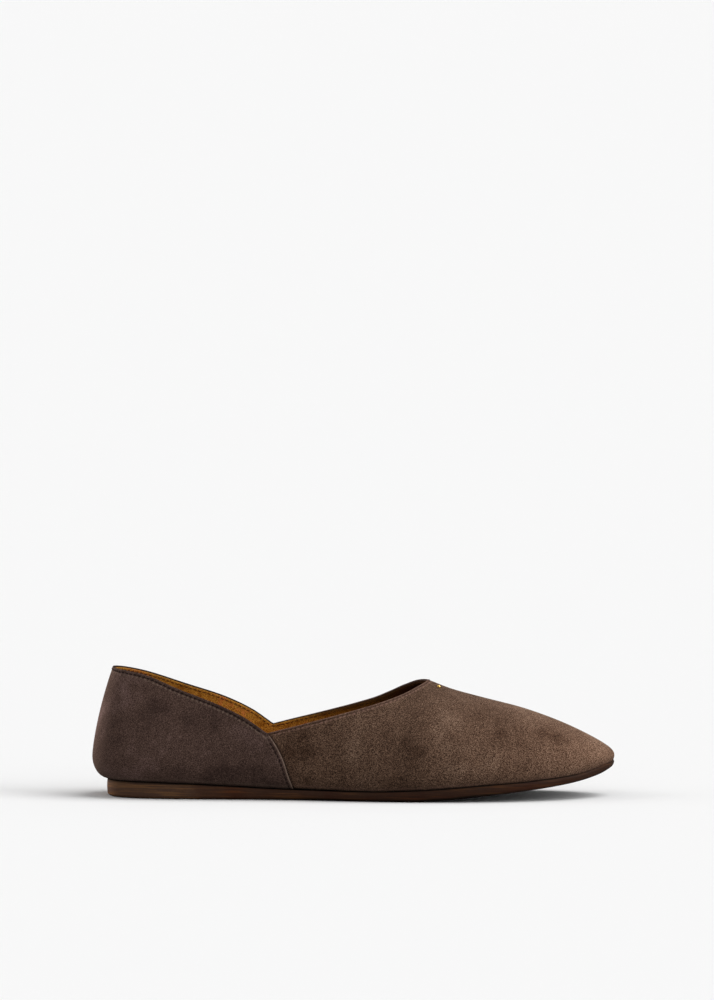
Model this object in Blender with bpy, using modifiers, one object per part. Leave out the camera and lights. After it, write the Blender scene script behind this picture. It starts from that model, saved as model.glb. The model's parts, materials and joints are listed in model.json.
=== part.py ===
"""Suede flat shoe for the right foot, built piece by piece on the ribs of its last.

A rib climbs the outside of the last in one upright plane: along the lasting margin underneath, round
the tuck, up to the widest line and on to the collar or to the ridge of the vamp. Ribs fan round the
heel and the toe and stand across the foot between them. Lengths are in millimetres until the mesh is
made. X runs from the heel back to the toe, the lateral side is at -Y and the floor is at Z = 0.
"""

import math
from functools import lru_cache
from typing import NamedTuple

import bmesh
import bpy
import numpy as np
from mathutils import Vector

MM = 0.001
WELD_DISTANCE = 0.00002

# Driving sizes
LENGTH = 260.0
BALL_WIDTH = 85.0
INSTEP_HEIGHT = 57.5
HEEL_HEIGHT = 64.4
UPPER_WALL = 1.6
QUARTER_WALL = 1.0
INSOLE_THICKNESS = 2.4
GAP = 0.3

# Opening and seams
THROAT_X = 0.643 * LENGTH
NOTCH_X = 0.341 * LENGTH
LAP_EASE = 32.0

# Last and sole
HEEL_SPINE_X = 0.12 * LENGTH
TOE_SPINE_X = 0.86 * LENGTH
SPINE_SOFTNESS = 20.0
LASTING_MARGIN = 6.0
INSOLE_INSET = 0.9
TOP_ROUND = 0.5
EDGE_ROUND = 1.8

# Stud on the vamp
STUD_X = 0.6625 * LENGTH
STUD_Y = -1.5
STUD_RADIUS = 1.1
STUD_RISE = 0.8

# Ribs on each side of the shoe, and rows along a rib
BACK_RIBS = 15
OPENING_RIBS = 12
VAMP_RIBS = 16
MARGIN_ROWS = 1
TUCK_ROWS = 4
SIDE_ROWS = 9
SLAB_RIBS = 32
SLAB_ROWS = (0.0, 0.4, 0.7, 0.88)


class Mark(NamedTuple):
    """Point of the widest line in plan: shares of the length and of the ball width."""

    along: float
    across: float


class Section(NamedTuple):
    """Side of the last: shares of the length, instep height and ball width, and each side's arch power."""

    along: float
    feather: float
    belly: float
    tuck_lateral: float
    tuck_medial: float
    power_lateral: float
    power_medial: float


class RidgeRow(NamedTuple):
    """Top line of the last: shares of the length and instep height, and its shift to the inner side."""

    along: float
    height: float
    shift: float


class CollarRow(NamedTuple):
    """Edge of the opening in side view: shares of the length and of the heel or instep height."""

    along: float
    lateral: float
    medial: float


class SeamRow(NamedTuple):
    """Front edge of the quarter: share of the instep height, then of the length."""

    height: float
    along: float


class TreadRow(NamedTuple):
    """Bottom of the sole: share of the length, height off the floor and edge beyond the feather line."""

    along: float
    lift: float
    ledge: float


OUTLINE = (
    Mark(1.000, 0.082),
    Mark(0.995, -0.005),
    Mark(0.979, -0.092),
    Mark(0.923, -0.280),
    Mark(0.800, -0.447),
    Mark(0.615, -0.498),
    Mark(0.338, -0.388),
    Mark(0.115, -0.353),
    Mark(0.030, -0.241),
    Mark(0.000, 0.000),
    Mark(0.030, 0.241),
    Mark(0.115, 0.353),
    Mark(0.400, 0.376),
    Mark(0.692, 0.498),
    Mark(0.815, 0.465),
    Mark(0.923, 0.375),
    Mark(0.979, 0.250),
    Mark(0.995, 0.168),
)

SECTIONS = (
    Section(0.000, 0.153, 0.343, 0.089, 0.089, 1.35, 1.35),
    Section(0.115, 0.147, 0.330, 0.074, 0.076, 1.42, 1.42),
    Section(0.230, 0.129, 0.310, 0.071, 0.094, 1.70, 1.68),
    Section(0.385, 0.098, 0.271, 0.066, 0.125, 1.88, 1.92),
    Section(0.540, 0.089, 0.234, 0.052, 0.090, 1.85, 2.05),
    Section(0.645, 0.106, 0.231, 0.047, 0.055, 1.82, 2.10),
    Section(0.750, 0.143, 0.247, 0.042, 0.044, 1.88, 2.10),
    Section(0.855, 0.178, 0.268, 0.038, 0.038, 2.05, 2.15),
    Section(0.935, 0.221, 0.294, 0.034, 0.034, 2.30, 2.30),
    Section(1.000, 0.296, 0.345, 0.028, 0.028, 2.50, 2.50),
)

RIDGE = (
    RidgeRow(0.115, 1.780, 0.0),
    RidgeRow(0.385, 1.390, 2.0),
    RidgeRow(0.540, 1.165, 4.5),
    RidgeRow(0.643, 0.998, 6.0),
    RidgeRow(0.686, 0.923, 6.0),
    RidgeRow(0.743, 0.852, 6.0),
    RidgeRow(0.820, 0.763, 6.0),
    RidgeRow(0.880, 0.672, 6.0),
)

QUARTER_COLLAR = (
    CollarRow(0.040, 1.000, 1.000),
    CollarRow(0.096, 0.957, 0.945),
    CollarRow(0.173, 0.850, 0.840),
    CollarRow(0.250, 0.733, 0.735),
    CollarRow(0.300, 0.635, 0.639),
    CollarRow(0.341, 0.523, 0.523),
)

VAMP_COLLAR = (
    CollarRow(0.341, 0.588, 0.588),
    CollarRow(0.385, 0.640, 0.640),
    CollarRow(0.462, 0.732, 0.724),
    CollarRow(0.538, 0.823, 0.812),
    CollarRow(0.596, 0.908, 0.940),
    CollarRow(0.627, 0.967, 0.990),
    CollarRow(0.643, 0.998, 0.998),
)

SEAM = (
    SeamRow(0.080, 0.393),
    SeamRow(0.180, 0.384),
    SeamRow(0.350, 0.372),
    SeamRow(0.500, 0.355),
    SeamRow(0.588, 0.341),
)

TREAD = (
    TreadRow(0.000, 0.0, 0.0),
    TreadRow(0.300, 0.0, 0.0),
    TreadRow(0.410, 1.0, 0.2),
    TreadRow(0.520, 0.0, 0.6),
    TreadRow(0.640, 0.0, 0.9),
    TreadRow(0.743, 2.6, 1.0),
    TreadRow(0.820, 4.7, 1.1),
    TreadRow(0.877, 6.5, 1.2),
    TreadRow(0.935, 9.0, 1.3),
    TreadRow(0.973, 11.7, 1.4),
    TreadRow(1.000, 15.2, 1.5),
)


class Track:
    """Smooth line through the rows of a table that keeps flat stretches flat."""

    def __init__(self, places, values):
        self.places = np.array(places, dtype=float)
        self.values = np.array(values, dtype=float)
        steps = np.diff(self.places)
        grades = np.diff(self.values) / steps
        slopes = np.zeros_like(self.values)
        slopes[0] = grades[0]
        slopes[-1] = grades[-1]
        for i in range(1, len(slopes) - 1):
            before = grades[i - 1]
            after = grades[i]
            if before * after > 0.0:
                near = 2.0 * steps[i] + steps[i - 1]
                far = steps[i] + 2.0 * steps[i - 1]
                slopes[i] = (near + far) / (near / before + far / after)
        self.slopes = slopes

    def __call__(self, place):
        """Value at a place, held level beyond the first and last rows."""
        place = min(max(place, self.places[0]), self.places[-1])
        i = min(int(np.searchsorted(self.places, place, side="right")) - 1, len(self.places) - 2)
        step = self.places[i + 1] - self.places[i]
        t = (place - self.places[i]) / step
        start = (1.0 + 2.0 * t) * (1.0 - t) ** 2 * self.values[i]
        start += t * (1.0 - t) ** 2 * step * self.slopes[i]
        end = t * t * (3.0 - 2.0 * t) * self.values[i + 1]
        end += t * t * (t - 1.0) * step * self.slopes[i + 1]
        return float(start + end)


def column(rows, name, scale=1.0):
    """Track of one column of a table against its place along the shoe."""
    return Track([row.along * LENGTH for row in rows], [getattr(row, name) * scale for row in rows])


feather_height = column(SECTIONS, "feather", INSTEP_HEIGHT)
belly_height = column(SECTIONS, "belly", INSTEP_HEIGHT)
tuck_depth = {side: column(SECTIONS, "tuck_" + side, BALL_WIDTH) for side in ("lateral", "medial")}
arch_power = {side: column(SECTIONS, "power_" + side) for side in ("lateral", "medial")}
ridge_height = column(RIDGE, "height", INSTEP_HEIGHT)
ridge_shift = column(RIDGE, "shift")
tread_lift = column(TREAD, "lift")
sole_ledge = column(TREAD, "ledge")
seam_place = Track([row.height * INSTEP_HEIGHT for row in SEAM], [row.along * LENGTH for row in SEAM])
collar_height = {
    side: (
        column(QUARTER_COLLAR, side, HEEL_HEIGHT),
        column(VAMP_COLLAR, side, INSTEP_HEIGHT),
    )
    for side in ("lateral", "medial")
}


def closed_outline(samples_per_mark=24):
    """Dense points of the widest line, from the toe tip round the lateral side, heel and medial side."""
    marks = [np.array((mark.along * LENGTH, mark.across * BALL_WIDTH)) for mark in OUTLINE]
    count = len(marks)
    points = []
    for i in range(count):
        before, start, end, after = (marks[(i + k) % count] for k in (-1, 0, 1, 2))
        gaps = [math.sqrt(np.linalg.norm(b - a)) for a, b in ((before, start), (start, end), (end, after))]
        leave = (start - before) / gaps[0] - (end - before) / (gaps[0] + gaps[1]) + (end - start) / gaps[1]
        reach = (end - start) / gaps[1] - (after - start) / (gaps[1] + gaps[2]) + (after - end) / gaps[2]
        for k in range(samples_per_mark):
            t = k / samples_per_mark
            point = (1.0 + 2.0 * t) * (1.0 - t) ** 2 * start + t * t * (3.0 - 2.0 * t) * end
            point = point + gaps[1] * (t * (1.0 - t) ** 2 * leave + t * t * (t - 1.0) * reach)
            points.append(point)
    points.append(points[0])
    return np.array(points)


def half_outlines():
    """Lateral and medial halves of the widest line from heel to toe, with their running lengths."""
    points = closed_outline()
    heel = int(np.argmin(points[:, 0]))
    halves = []
    for half in (points[: heel + 1][::-1], points[heel:]):
        runs = np.concatenate(([0.0], np.cumsum(np.linalg.norm(np.diff(half, axis=0), axis=1))))
        halves.append((half, runs / runs[-1]))
    return halves


LATERAL_HALF, MEDIAL_HALF = half_outlines()


class Rib(NamedTuple):
    """Upright plane from the spine of the last out to its widest line."""

    foot: Vector
    spine: Vector
    outward: Vector
    length: float
    belly: float
    tuck: float
    power: float
    ridge: float
    slope: float


def side_name(turn):
    """Side of the shoe that a turn is on."""
    return "lateral" if turn < 0.0 else "medial"


def outline_point(turn):
    """Point of the widest line, with turn from 0 at the heel back to -1 or 1 at the toe tip."""
    half, shares = LATERAL_HALF if turn < 0.0 else MEDIAL_HALF
    reach = abs(turn)
    return Vector((np.interp(reach, shares, half[:, 0]), np.interp(reach, shares, half[:, 1])))


def spine_place(turn):
    """Place along the spine where both ribs of a turn end, held back softly from heel and toe."""
    middle = (outline_point(-abs(turn)).x + outline_point(abs(turn)).x) / 2.0
    from_heel = (middle + HEEL_SPINE_X + math.hypot(middle - HEEL_SPINE_X, SPINE_SOFTNESS)) / 2.0
    return (from_heel + TOE_SPINE_X - math.hypot(from_heel - TOE_SPINE_X, SPINE_SOFTNESS)) / 2.0


@lru_cache(maxsize=None)
def rib_at(turn):
    """Rib of one turn round the shoe."""
    side = side_name(turn)
    foot = outline_point(turn)
    place = spine_place(turn)
    spine = Vector((place, ridge_shift(place)))
    slope = (ridge_height(place + 1.0) - ridge_height(place - 1.0)) / 2.0
    return Rib(
        foot=foot,
        spine=spine,
        outward=(foot - spine).normalized(),
        length=(foot - spine).length,
        belly=belly_height(foot.x),
        tuck=tuck_depth[side](foot.x),
        power=arch_power[side](foot.x),
        ridge=ridge_height(place),
        slope=slope,
    )


def wrapped(turn):
    """Turn brought back into the range from -1 to 1."""
    if turn > 1.0:
        return turn - 2.0
    if turn < -1.0:
        return turn + 2.0
    return turn


def along_rib(rib, out, height):
    """Point at a distance out from the spine of a rib."""
    flat = rib.spine + rib.outward * out
    return Vector((flat.x, flat.y, height))


def side_point(rib, sweep):
    """Point on the arch of a rib, from the widest line at 0 to the ridge at a quarter turn."""
    out = rib.length * max(math.cos(sweep), 0.0) ** (2.0 / rib.power)
    rise = math.sin(sweep) ** (2.0 / rib.power)
    crown = rib.ridge - rib.belly + rib.slope * rib.outward.x * out
    return along_rib(rib, out, rib.belly + crown * rise)


def tuck_point(rib, sweep):
    """Point below the widest line, from the feather line at 0 to the widest line at a quarter turn."""
    point = along_rib(rib, rib.length - rib.tuck * (1.0 - math.sin(sweep)), 0.0)
    point.z = rib.belly - (rib.belly - feather_height(point.x)) * math.cos(sweep)
    return point


def margin_point(rib, share):
    """Point of the lasting margin, from the feather line at 0 to its inner edge at 1."""
    point = along_rib(rib, rib.length - rib.tuck - LASTING_MARGIN * share, 0.0)
    point.z = feather_height(point.x)
    return point


def solve(test, low, high):
    """Place between low and high where a rising test passes through zero."""
    for _ in range(40):
        middle = (low + high) / 2.0
        if test(middle) < 0.0:
            low = middle
        else:
            high = middle
    return (low + high) / 2.0


@lru_cache(maxsize=None)
def top_sweep(turn):
    """Sweep of a rib's arch at the collar, or a quarter turn where the rib runs to the ridge."""
    quarter_turn = math.pi / 2.0
    rib = rib_at(turn)
    if rib.spine.x >= THROAT_X - 0.001:
        return quarter_turn
    quarter, vamp = collar_height[side_name(turn)]

    def above_collar(sweep):
        point = side_point(rib, sweep)
        return point.z - (quarter if point.x < NOTCH_X else vamp)(point.x)

    return solve(above_collar, 0.0, quarter_turn)


def sweep_at(level, top):
    """Sweep at a level of the side, so that only the upper rows bend to follow the collar."""
    quarter_turn = math.pi / 2.0
    short = quarter_turn - top
    bend = min(3.0, 0.95 * quarter_turn / max(short, 0.001))
    return quarter_turn * level - short * level ** max(bend, 1.0)


@lru_cache(maxsize=None)
def skin(turn, level):
    """Outer skin of the shoe: level -2 margin edge, -1 feather line, 0 widest line, 1 collar or ridge."""
    turn = wrapped(turn)
    rib = rib_at(turn)
    if level < -1.0:
        return margin_point(rib, -1.0 - level)
    if level < 0.0:
        return tuck_point(rib, (level + 1.0) * math.pi / 2.0)
    return side_point(rib, sweep_at(level, top_sweep(turn)))


def skin_normal(turn, level):
    """Outward direction of the skin."""
    round_shoe = skin(turn + 0.002, level) - skin(turn - 0.002, level)
    up_rib = skin(turn, min(level + 0.02, 1.0)) - skin(turn, max(level - 0.02, -2.0))
    return up_rib.cross(round_shoe).normalized()


def inside_skin(turn, level, depth):
    """Point at a depth inside the skin."""
    if depth == 0.0:
        return skin(turn, level)
    return skin(turn, level) - skin_normal(turn, level) * depth


def lap_depth(place):
    """Depth of the upper under the skin: room for the quarter behind the seam, easing out on the vamp."""
    start = SEAM[0].along * LENGTH + 1.0
    t = min(max((place - start) / LAP_EASE, 0.0), 1.0)
    return (QUARTER_WALL + GAP) * (1.0 - t * t * (3.0 - 2.0 * t))


def turn_at_spine(place):
    """Turn whose ribs end at a place on the spine."""
    return solve(lambda turn: spine_place(turn) - place, 0.0, 1.0)


def notch_turn(side):
    """Turn of the rib whose collar point is the notch, on the side given as -1 or 1."""
    return solve(lambda turn: skin(side * turn, 1.0).x - NOTCH_X, 0.1, 0.6)


def seam_turn(side, level):
    """Turn where a level crosses the front edge of the quarter."""

    def past_seam(turn):
        point = skin(side * turn, level)
        return point.x - seam_place(point.z)

    return solve(past_seam, 0.1, 0.6)


def upper_turns(side):
    """Turns of the ribs from heel to toe, closer together at the throat and at the toe tip."""
    notch = notch_turn(side)
    throat = turn_at_spine(THROAT_X)
    turns = [notch * (k / BACK_RIBS) ** 1.2 for k in range(BACK_RIBS)]
    turns += [throat - (throat - notch) * (1.0 - k / OPENING_RIBS) ** 2.1 for k in range(OPENING_RIBS)]
    turns += [1.0 - (1.0 - throat) * (1.0 - k / VAMP_RIBS) ** 1.2 for k in range(VAMP_RIBS + 1)]
    return [side * turn for turn in turns]


def rib_levels(margin_share):
    """Levels of the rows along a rib, from the lasting margin to the collar."""
    levels = [-1.0 - margin_share * (1.0 - k / MARGIN_ROWS) for k in range(MARGIN_ROWS)]
    levels += [-1.0 + k / TUCK_ROWS for k in range(TUCK_ROWS)]
    levels += [k / SIDE_ROWS for k in range(SIDE_ROWS + 1)]
    return levels


def sheet_mesh(name, columns, rows, place):
    """Mesh of a grid whose points are placed by column and row and welded where they meet."""
    mesh = bpy.data.meshes.new(name)
    sheet = bmesh.new()
    bmesh.ops.create_grid(sheet, x_segments=columns, y_segments=rows, size=0.5)
    for vertex in sheet.verts:
        vertex.co = place(round((vertex.co.x + 0.5) * columns), round((vertex.co.y + 0.5) * rows)) * MM
    bmesh.ops.remove_doubles(sheet, verts=sheet.verts, dist=WELD_DISTANCE)
    bmesh.ops.dissolve_degenerate(sheet, edges=sheet.edges, dist=WELD_DISTANCE)
    sheet.to_mesh(mesh)
    sheet.free()
    mesh.shade_smooth()
    return mesh


def close_faces_outward(mesh):
    """Point the faces of a closed mesh outward."""
    body = bmesh.new()
    body.from_mesh(mesh)
    bmesh.ops.recalc_face_normals(body, faces=body.faces)
    body.to_mesh(mesh)
    body.free()


def finish(name, colour, roughness, metallic=0.0):
    """Material with a colour given in display values."""
    material = bpy.data.materials.new(name)
    material.use_nodes = True
    shader = material.node_tree.nodes["Principled BSDF"]
    linear = [(c / 12.92 if c <= 0.04045 else ((c + 0.055) / 1.055) ** 2.4) for c in colour]
    shader.inputs["Base Color"].default_value = (*linear, 1.0)
    shader.inputs["Roughness"].default_value = roughness
    shader.inputs["Metallic"].default_value = metallic
    return material


def add_piece(collection, parent, mesh, material):
    """Object of one piece under the shoe's own origin."""
    piece = bpy.data.objects.new(mesh.name, mesh)
    mesh.materials.append(material)
    piece.parent = parent
    collection.objects.link(piece)
    return piece


def add_wall(piece, thickness):
    """Wall of a shell, grown inward from its outer skin."""
    wall = piece.modifiers.new("Wall", "SOLIDIFY")
    wall.thickness = thickness * MM
    wall.offset = -1.0
    wall.use_even_offset = True
    wall.use_quality_normals = True


def upper_mesh():
    """Outer skin of the upper, from the lasting margin to the collar and over the vamp."""
    turns = upper_turns(1)[::-1] + upper_turns(-1)[1:]
    levels = rib_levels(1.0)

    def place(i, j):
        depth = lap_depth(skin(turns[i], levels[j]).x)
        return inside_skin(turns[i], levels[j], depth)

    return sheet_mesh("upper", len(turns) - 1, len(levels) - 1, place)


def quarter_mesh():
    """Outer skin of the quarter, from seam to seam round the heel."""
    levels = rib_levels(0.8)
    fronts = [(seam_turn(-1, level), seam_turn(1, level)) for level in levels]

    def place(i, j):
        share = (BACK_RIBS - i) / BACK_RIBS
        front = fronts[j][0] if share < 0.0 else fronts[j][1]
        return skin(math.copysign(abs(share) ** 1.2, share) * front, levels[j])

    return sheet_mesh("quarter", 2 * BACK_RIBS, len(levels) - 1, place)


def sole_section(rib):
    """Half section of the outsole: distances from the spine and heights, from the top to the tread."""
    edge = rib.length - rib.tuck + sole_ledge(rib.foot.x)
    edge_x = along_rib(rib, edge, 0.0).x
    thickness = feather_height(edge_x) - GAP - tread_lift(edge_x)
    bottom_round = min(EDGE_ROUND, 0.45 * thickness)
    top_round = min(TOP_ROUND, 0.15 * thickness)
    section = []
    for out in [share * edge for share in SLAB_ROWS] + [edge - top_round]:
        section.append((out, feather_height(along_rib(rib, out, 0.0).x) - GAP))
    section.append((edge, feather_height(edge_x) - GAP - top_round))
    for step in range(4):
        angle = math.pi / 2.0 * step / 3.0
        out = edge - bottom_round * (1.0 - math.cos(angle))
        lift = tread_lift(along_rib(rib, out, 0.0).x)
        section.append((out, lift + bottom_round * (1.0 - math.sin(angle))))
    for out in [share * edge for share in SLAB_ROWS[::-1]]:
        section.append((out, tread_lift(along_rib(rib, out, 0.0).x)))
    return section


def insole_section(rib):
    """Half section of the insole: distances from the spine and heights, from the top to its seat."""
    edge = rib.length - rib.tuck - INSOLE_INSET
    outs = [share * edge for share in SLAB_ROWS]
    corners = [(out, INSOLE_THICKNESS) for out in outs]
    corners += [(edge - TOP_ROUND, INSOLE_THICKNESS), (edge, INSOLE_THICKNESS - TOP_ROUND), (edge, 0.0)]
    corners += [(out, 0.0) for out in outs[::-1]]
    section = []
    for out, rise in corners:
        place = along_rib(rib, out, 0.0).x
        seat = feather_height(place) + lap_depth(place) + UPPER_WALL + GAP
        section.append((out, seat + rise))
    return section


def slab_mesh(name, section_of):
    """Closed body of half sections set round the spine of the last."""
    reach = [1.0 - (1.0 - k / SLAB_RIBS) ** 1.15 for k in range(SLAB_RIBS + 1)]
    turns = [-turn for turn in reach[::-1]] + reach[1:]
    sections = [section_of(rib_at(turn)) for turn in turns]

    def place(i, j):
        return along_rib(rib_at(turns[i]), *sections[i][j])

    mesh = sheet_mesh(name, len(turns) - 1, len(sections[0]) - 1, place)
    close_faces_outward(mesh)
    return mesh


def stud_mesh():
    """Half profile of the stud's dome, turned by a modifier on the object."""
    mesh = bpy.data.meshes.new("throat_stud")
    steps = 5
    profile = []
    for k in range(steps + 1):
        angle = math.pi / 2.0 * k / steps
        profile.append((STUD_RADIUS * math.sin(angle) * MM, 0.0, STUD_RISE * math.cos(angle) * MM))
    profile.append((0.0, 0.0, 0.0))
    mesh.from_pydata(profile, [(k, k + 1) for k in range(len(profile) - 1)], [])
    return mesh


def place_stud(stud):
    """Turn the stud's profile into a dome and seat it on the centre of the vamp."""
    turned = stud.modifiers.new("Turned dome", "SCREW")
    turned.steps = 16
    turned.render_steps = 16
    turned.use_merge_vertices = True
    turned.merge_threshold = 0.00001
    turn = -turn_at_spine(STUD_X)
    level = 1.0 - solve(lambda drop: STUD_Y - skin(turn, 1.0 - drop).y, 0.0, 0.9)
    normal = skin_normal(turn, level)
    stud.location = (skin(turn, level) + normal * GAP) * MM
    stud.rotation_euler = normal.to_track_quat("Z", "Y").to_euler()


def main():
    """Clear the scene and build the shoe."""
    for old in list(bpy.data.objects):
        bpy.data.objects.remove(old, do_unlink=True)
    collection = bpy.data.collections.new("flat_shoe")
    bpy.context.scene.collection.children.link(collection)

    origin = bpy.data.objects.new("shoe_origin", None)
    widths = closed_outline()[:, 1]
    origin.location = (-LENGTH / 2.0 * MM, -(widths.min() + widths.max()) / 2.0 * MM, 0.0)
    collection.objects.link(origin)

    sole_leather = finish("sole_leather", (0.21, 0.15, 0.11), 0.55)
    vamp_suede = finish("vamp_suede", (0.33, 0.25, 0.20), 0.95)
    quarter_suede = finish("quarter_suede", (0.22, 0.17, 0.15), 0.95)
    sock_leather = finish("sock_leather", (0.52, 0.34, 0.11), 0.80)
    brass = finish("brass", (0.78, 0.60, 0.30), 0.30, 1.0)

    add_piece(collection, origin, slab_mesh("outsole", sole_section), sole_leather)
    add_piece(collection, origin, slab_mesh("insole", insole_section), sock_leather)
    add_wall(add_piece(collection, origin, upper_mesh(), vamp_suede), UPPER_WALL)
    add_wall(add_piece(collection, origin, quarter_mesh(), quarter_suede), QUARTER_WALL)
    place_stud(add_piece(collection, origin, stud_mesh(), brass))


if __name__ == "__main__":
    main()
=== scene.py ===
"""Looks of a suede slip-on flat shoe for the right foot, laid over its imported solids.

Every panel is drawn on the last, the form of the foot. A rib of the last is an upright plane that
climbs from the lasting margin underneath, round the tuck, up the side and on to the collar or to the
ridge of the vamp. A turn tells which rib: 0 at the heel back, -1 round the lateral side and 1 round
the medial side to the toe tip. A level tells how far up it: -2 margin edge, -1 feather line, 0 widest
line, 1 collar or ridge. Lengths are in millimetres until a mesh is made.
"""

import json
import logging
import math
from collections.abc import Callable, Sequence
from dataclasses import dataclass
from enum import Enum
from typing import NamedTuple

import bpy
import numpy as np
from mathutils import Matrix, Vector
from mathutils.bvhtree import BVHTree
from mathutils.kdtree import KDTree

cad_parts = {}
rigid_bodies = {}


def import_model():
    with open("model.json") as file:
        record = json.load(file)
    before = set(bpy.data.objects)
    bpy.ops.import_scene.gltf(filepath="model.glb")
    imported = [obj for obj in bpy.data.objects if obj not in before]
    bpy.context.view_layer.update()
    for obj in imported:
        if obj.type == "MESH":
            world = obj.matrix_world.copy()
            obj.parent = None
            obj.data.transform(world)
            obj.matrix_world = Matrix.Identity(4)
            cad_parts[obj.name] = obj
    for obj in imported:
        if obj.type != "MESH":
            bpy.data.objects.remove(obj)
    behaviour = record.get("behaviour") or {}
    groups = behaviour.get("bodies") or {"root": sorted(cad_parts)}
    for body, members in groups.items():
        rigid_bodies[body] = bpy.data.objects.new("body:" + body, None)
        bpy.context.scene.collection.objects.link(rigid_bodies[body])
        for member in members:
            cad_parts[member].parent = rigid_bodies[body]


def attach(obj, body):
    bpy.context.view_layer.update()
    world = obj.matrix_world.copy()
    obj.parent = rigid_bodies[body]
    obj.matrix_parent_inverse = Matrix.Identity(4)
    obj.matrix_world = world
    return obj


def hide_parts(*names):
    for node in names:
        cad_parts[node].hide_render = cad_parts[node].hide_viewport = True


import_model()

LOG = logging.getLogger("flat_shoe")
BODY = "root"
MM = 0.001
QUARTER_TURN = math.pi / 2.0
# Mask of pale edges: rubbing, with painted highlights along rims, in flecks and just above the foot.
WEAR_AND_HIGHLIGHT_MASK = "edge"
# Mask of painted shade: crevices, the foot of the upper, shaded rims and inner sheets, the throat and the
# sole's edges.
PAINTED_SHADE_MASK = "painted_shade"
TONE_MASK = "tone"
MARGIN_LEVEL = -2.0
FEATHER_LEVEL = -1.0
TOP_LEVEL = 1.0
WHITE = (1.0, 1.0, 1.0, 1.0)

Array = np.ndarray
Colour = tuple[int, int, int]
Piece = bpy.types.Object
Node = bpy.types.Node
NodeTree = bpy.types.NodeTree
Socket = bpy.types.NodeSocket
Material = bpy.types.Material


class Side(Enum):
    """Side of the shoe, as the sign of its turns."""

    LATERAL = -1
    MEDIAL = 1


class Mark(NamedTuple):
    """Point of the widest line in plan: shares of the length and of the ball width."""

    along: float
    across: float


class Section(NamedTuple):
    """Side of the last: shares of the length, instep height and ball width, and each side's arch power."""

    along: float
    feather: float
    belly: float
    tuck_lateral: float
    tuck_medial: float
    power_lateral: float
    power_medial: float


class RidgeRow(NamedTuple):
    """Top line of the last: shares of the length and instep height, and its shift to the inner side."""

    along: float
    height: float
    shift: float


class CollarRow(NamedTuple):
    """Edge of the opening in side view: shares of the length and of the heel or instep height."""

    along: float
    lateral: float
    medial: float


class SeamRow(NamedTuple):
    """Front edge of the quarter: share of the instep height, then of the length."""

    height: float
    along: float


class TreadRow(NamedTuple):
    """Bottom of the sole: share of the length, height off the floor and edge beyond the feather line."""

    along: float
    lift: float
    ledge: float


OUTLINE = (
    Mark(1.000, 0.082),
    Mark(0.995, -0.005),
    Mark(0.979, -0.092),
    Mark(0.923, -0.280),
    Mark(0.800, -0.447),
    Mark(0.615, -0.498),
    Mark(0.338, -0.388),
    Mark(0.115, -0.353),
    Mark(0.030, -0.241),
    Mark(0.000, 0.000),
    Mark(0.030, 0.241),
    Mark(0.115, 0.353),
    Mark(0.400, 0.376),
    Mark(0.692, 0.498),
    Mark(0.815, 0.465),
    Mark(0.923, 0.375),
    Mark(0.979, 0.250),
    Mark(0.995, 0.168),
)

SECTIONS = (
    Section(0.000, 0.153, 0.343, 0.089, 0.089, 1.35, 1.35),
    Section(0.115, 0.147, 0.330, 0.074, 0.076, 1.42, 1.42),
    Section(0.230, 0.129, 0.310, 0.071, 0.094, 1.70, 1.68),
    Section(0.385, 0.098, 0.271, 0.066, 0.125, 1.88, 1.92),
    Section(0.540, 0.089, 0.234, 0.052, 0.090, 1.85, 2.05),
    Section(0.645, 0.106, 0.231, 0.047, 0.055, 1.82, 2.10),
    Section(0.750, 0.143, 0.247, 0.042, 0.044, 1.88, 2.10),
    Section(0.855, 0.178, 0.268, 0.038, 0.038, 2.05, 2.15),
    Section(0.935, 0.221, 0.294, 0.034, 0.034, 2.30, 2.30),
    Section(1.000, 0.296, 0.345, 0.028, 0.028, 2.50, 2.50),
)

RIDGE = (
    RidgeRow(0.115, 1.780, 0.0),
    RidgeRow(0.385, 1.390, 2.0),
    RidgeRow(0.540, 1.165, 4.5),
    RidgeRow(0.643, 0.998, 6.0),
    RidgeRow(0.686, 0.923, 6.0),
    RidgeRow(0.743, 0.852, 6.0),
    RidgeRow(0.820, 0.763, 6.0),
    RidgeRow(0.880, 0.672, 6.0),
)

QUARTER_COLLAR = (
    CollarRow(0.040, 1.000, 1.000),
    CollarRow(0.096, 0.967, 0.945),
    CollarRow(0.173, 0.850, 0.840),
    CollarRow(0.250, 0.733, 0.735),
    CollarRow(0.300, 0.635, 0.639),
    CollarRow(0.341, 0.523, 0.523),
)

VAMP_COLLAR = (
    CollarRow(0.341, 0.588, 0.588),
    CollarRow(0.385, 0.640, 0.640),
    CollarRow(0.462, 0.732, 0.724),
    CollarRow(0.500, 0.776, 0.767),
    CollarRow(0.538, 0.823, 0.819),
    CollarRow(0.570, 0.867, 0.881),
    CollarRow(0.596, 0.908, 0.937),
    CollarRow(0.627, 0.967, 0.988),
    CollarRow(0.643, 0.998, 0.998),
)

SEAM = (
    SeamRow(0.080, 0.393),
    SeamRow(0.180, 0.384),
    SeamRow(0.350, 0.372),
    SeamRow(0.500, 0.355),
    SeamRow(0.588, 0.341),
)

TREAD = (
    TreadRow(0.000, 0.0, 0.0),
    TreadRow(0.300, 0.0, 0.0),
    TreadRow(0.410, 0.4, 0.2),
    TreadRow(0.500, 0.0, 0.6),
    TreadRow(0.610, 0.0, 0.9),
    TreadRow(0.680, 0.9, 1.0),
    TreadRow(0.743, 2.6, 1.0),
    TreadRow(0.820, 4.7, 1.1),
    TreadRow(0.877, 6.5, 1.2),
    TreadRow(0.935, 9.0, 1.3),
    TreadRow(0.973, 11.7, 1.4),
    TreadRow(1.000, 15.2, 1.5),
)


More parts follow.
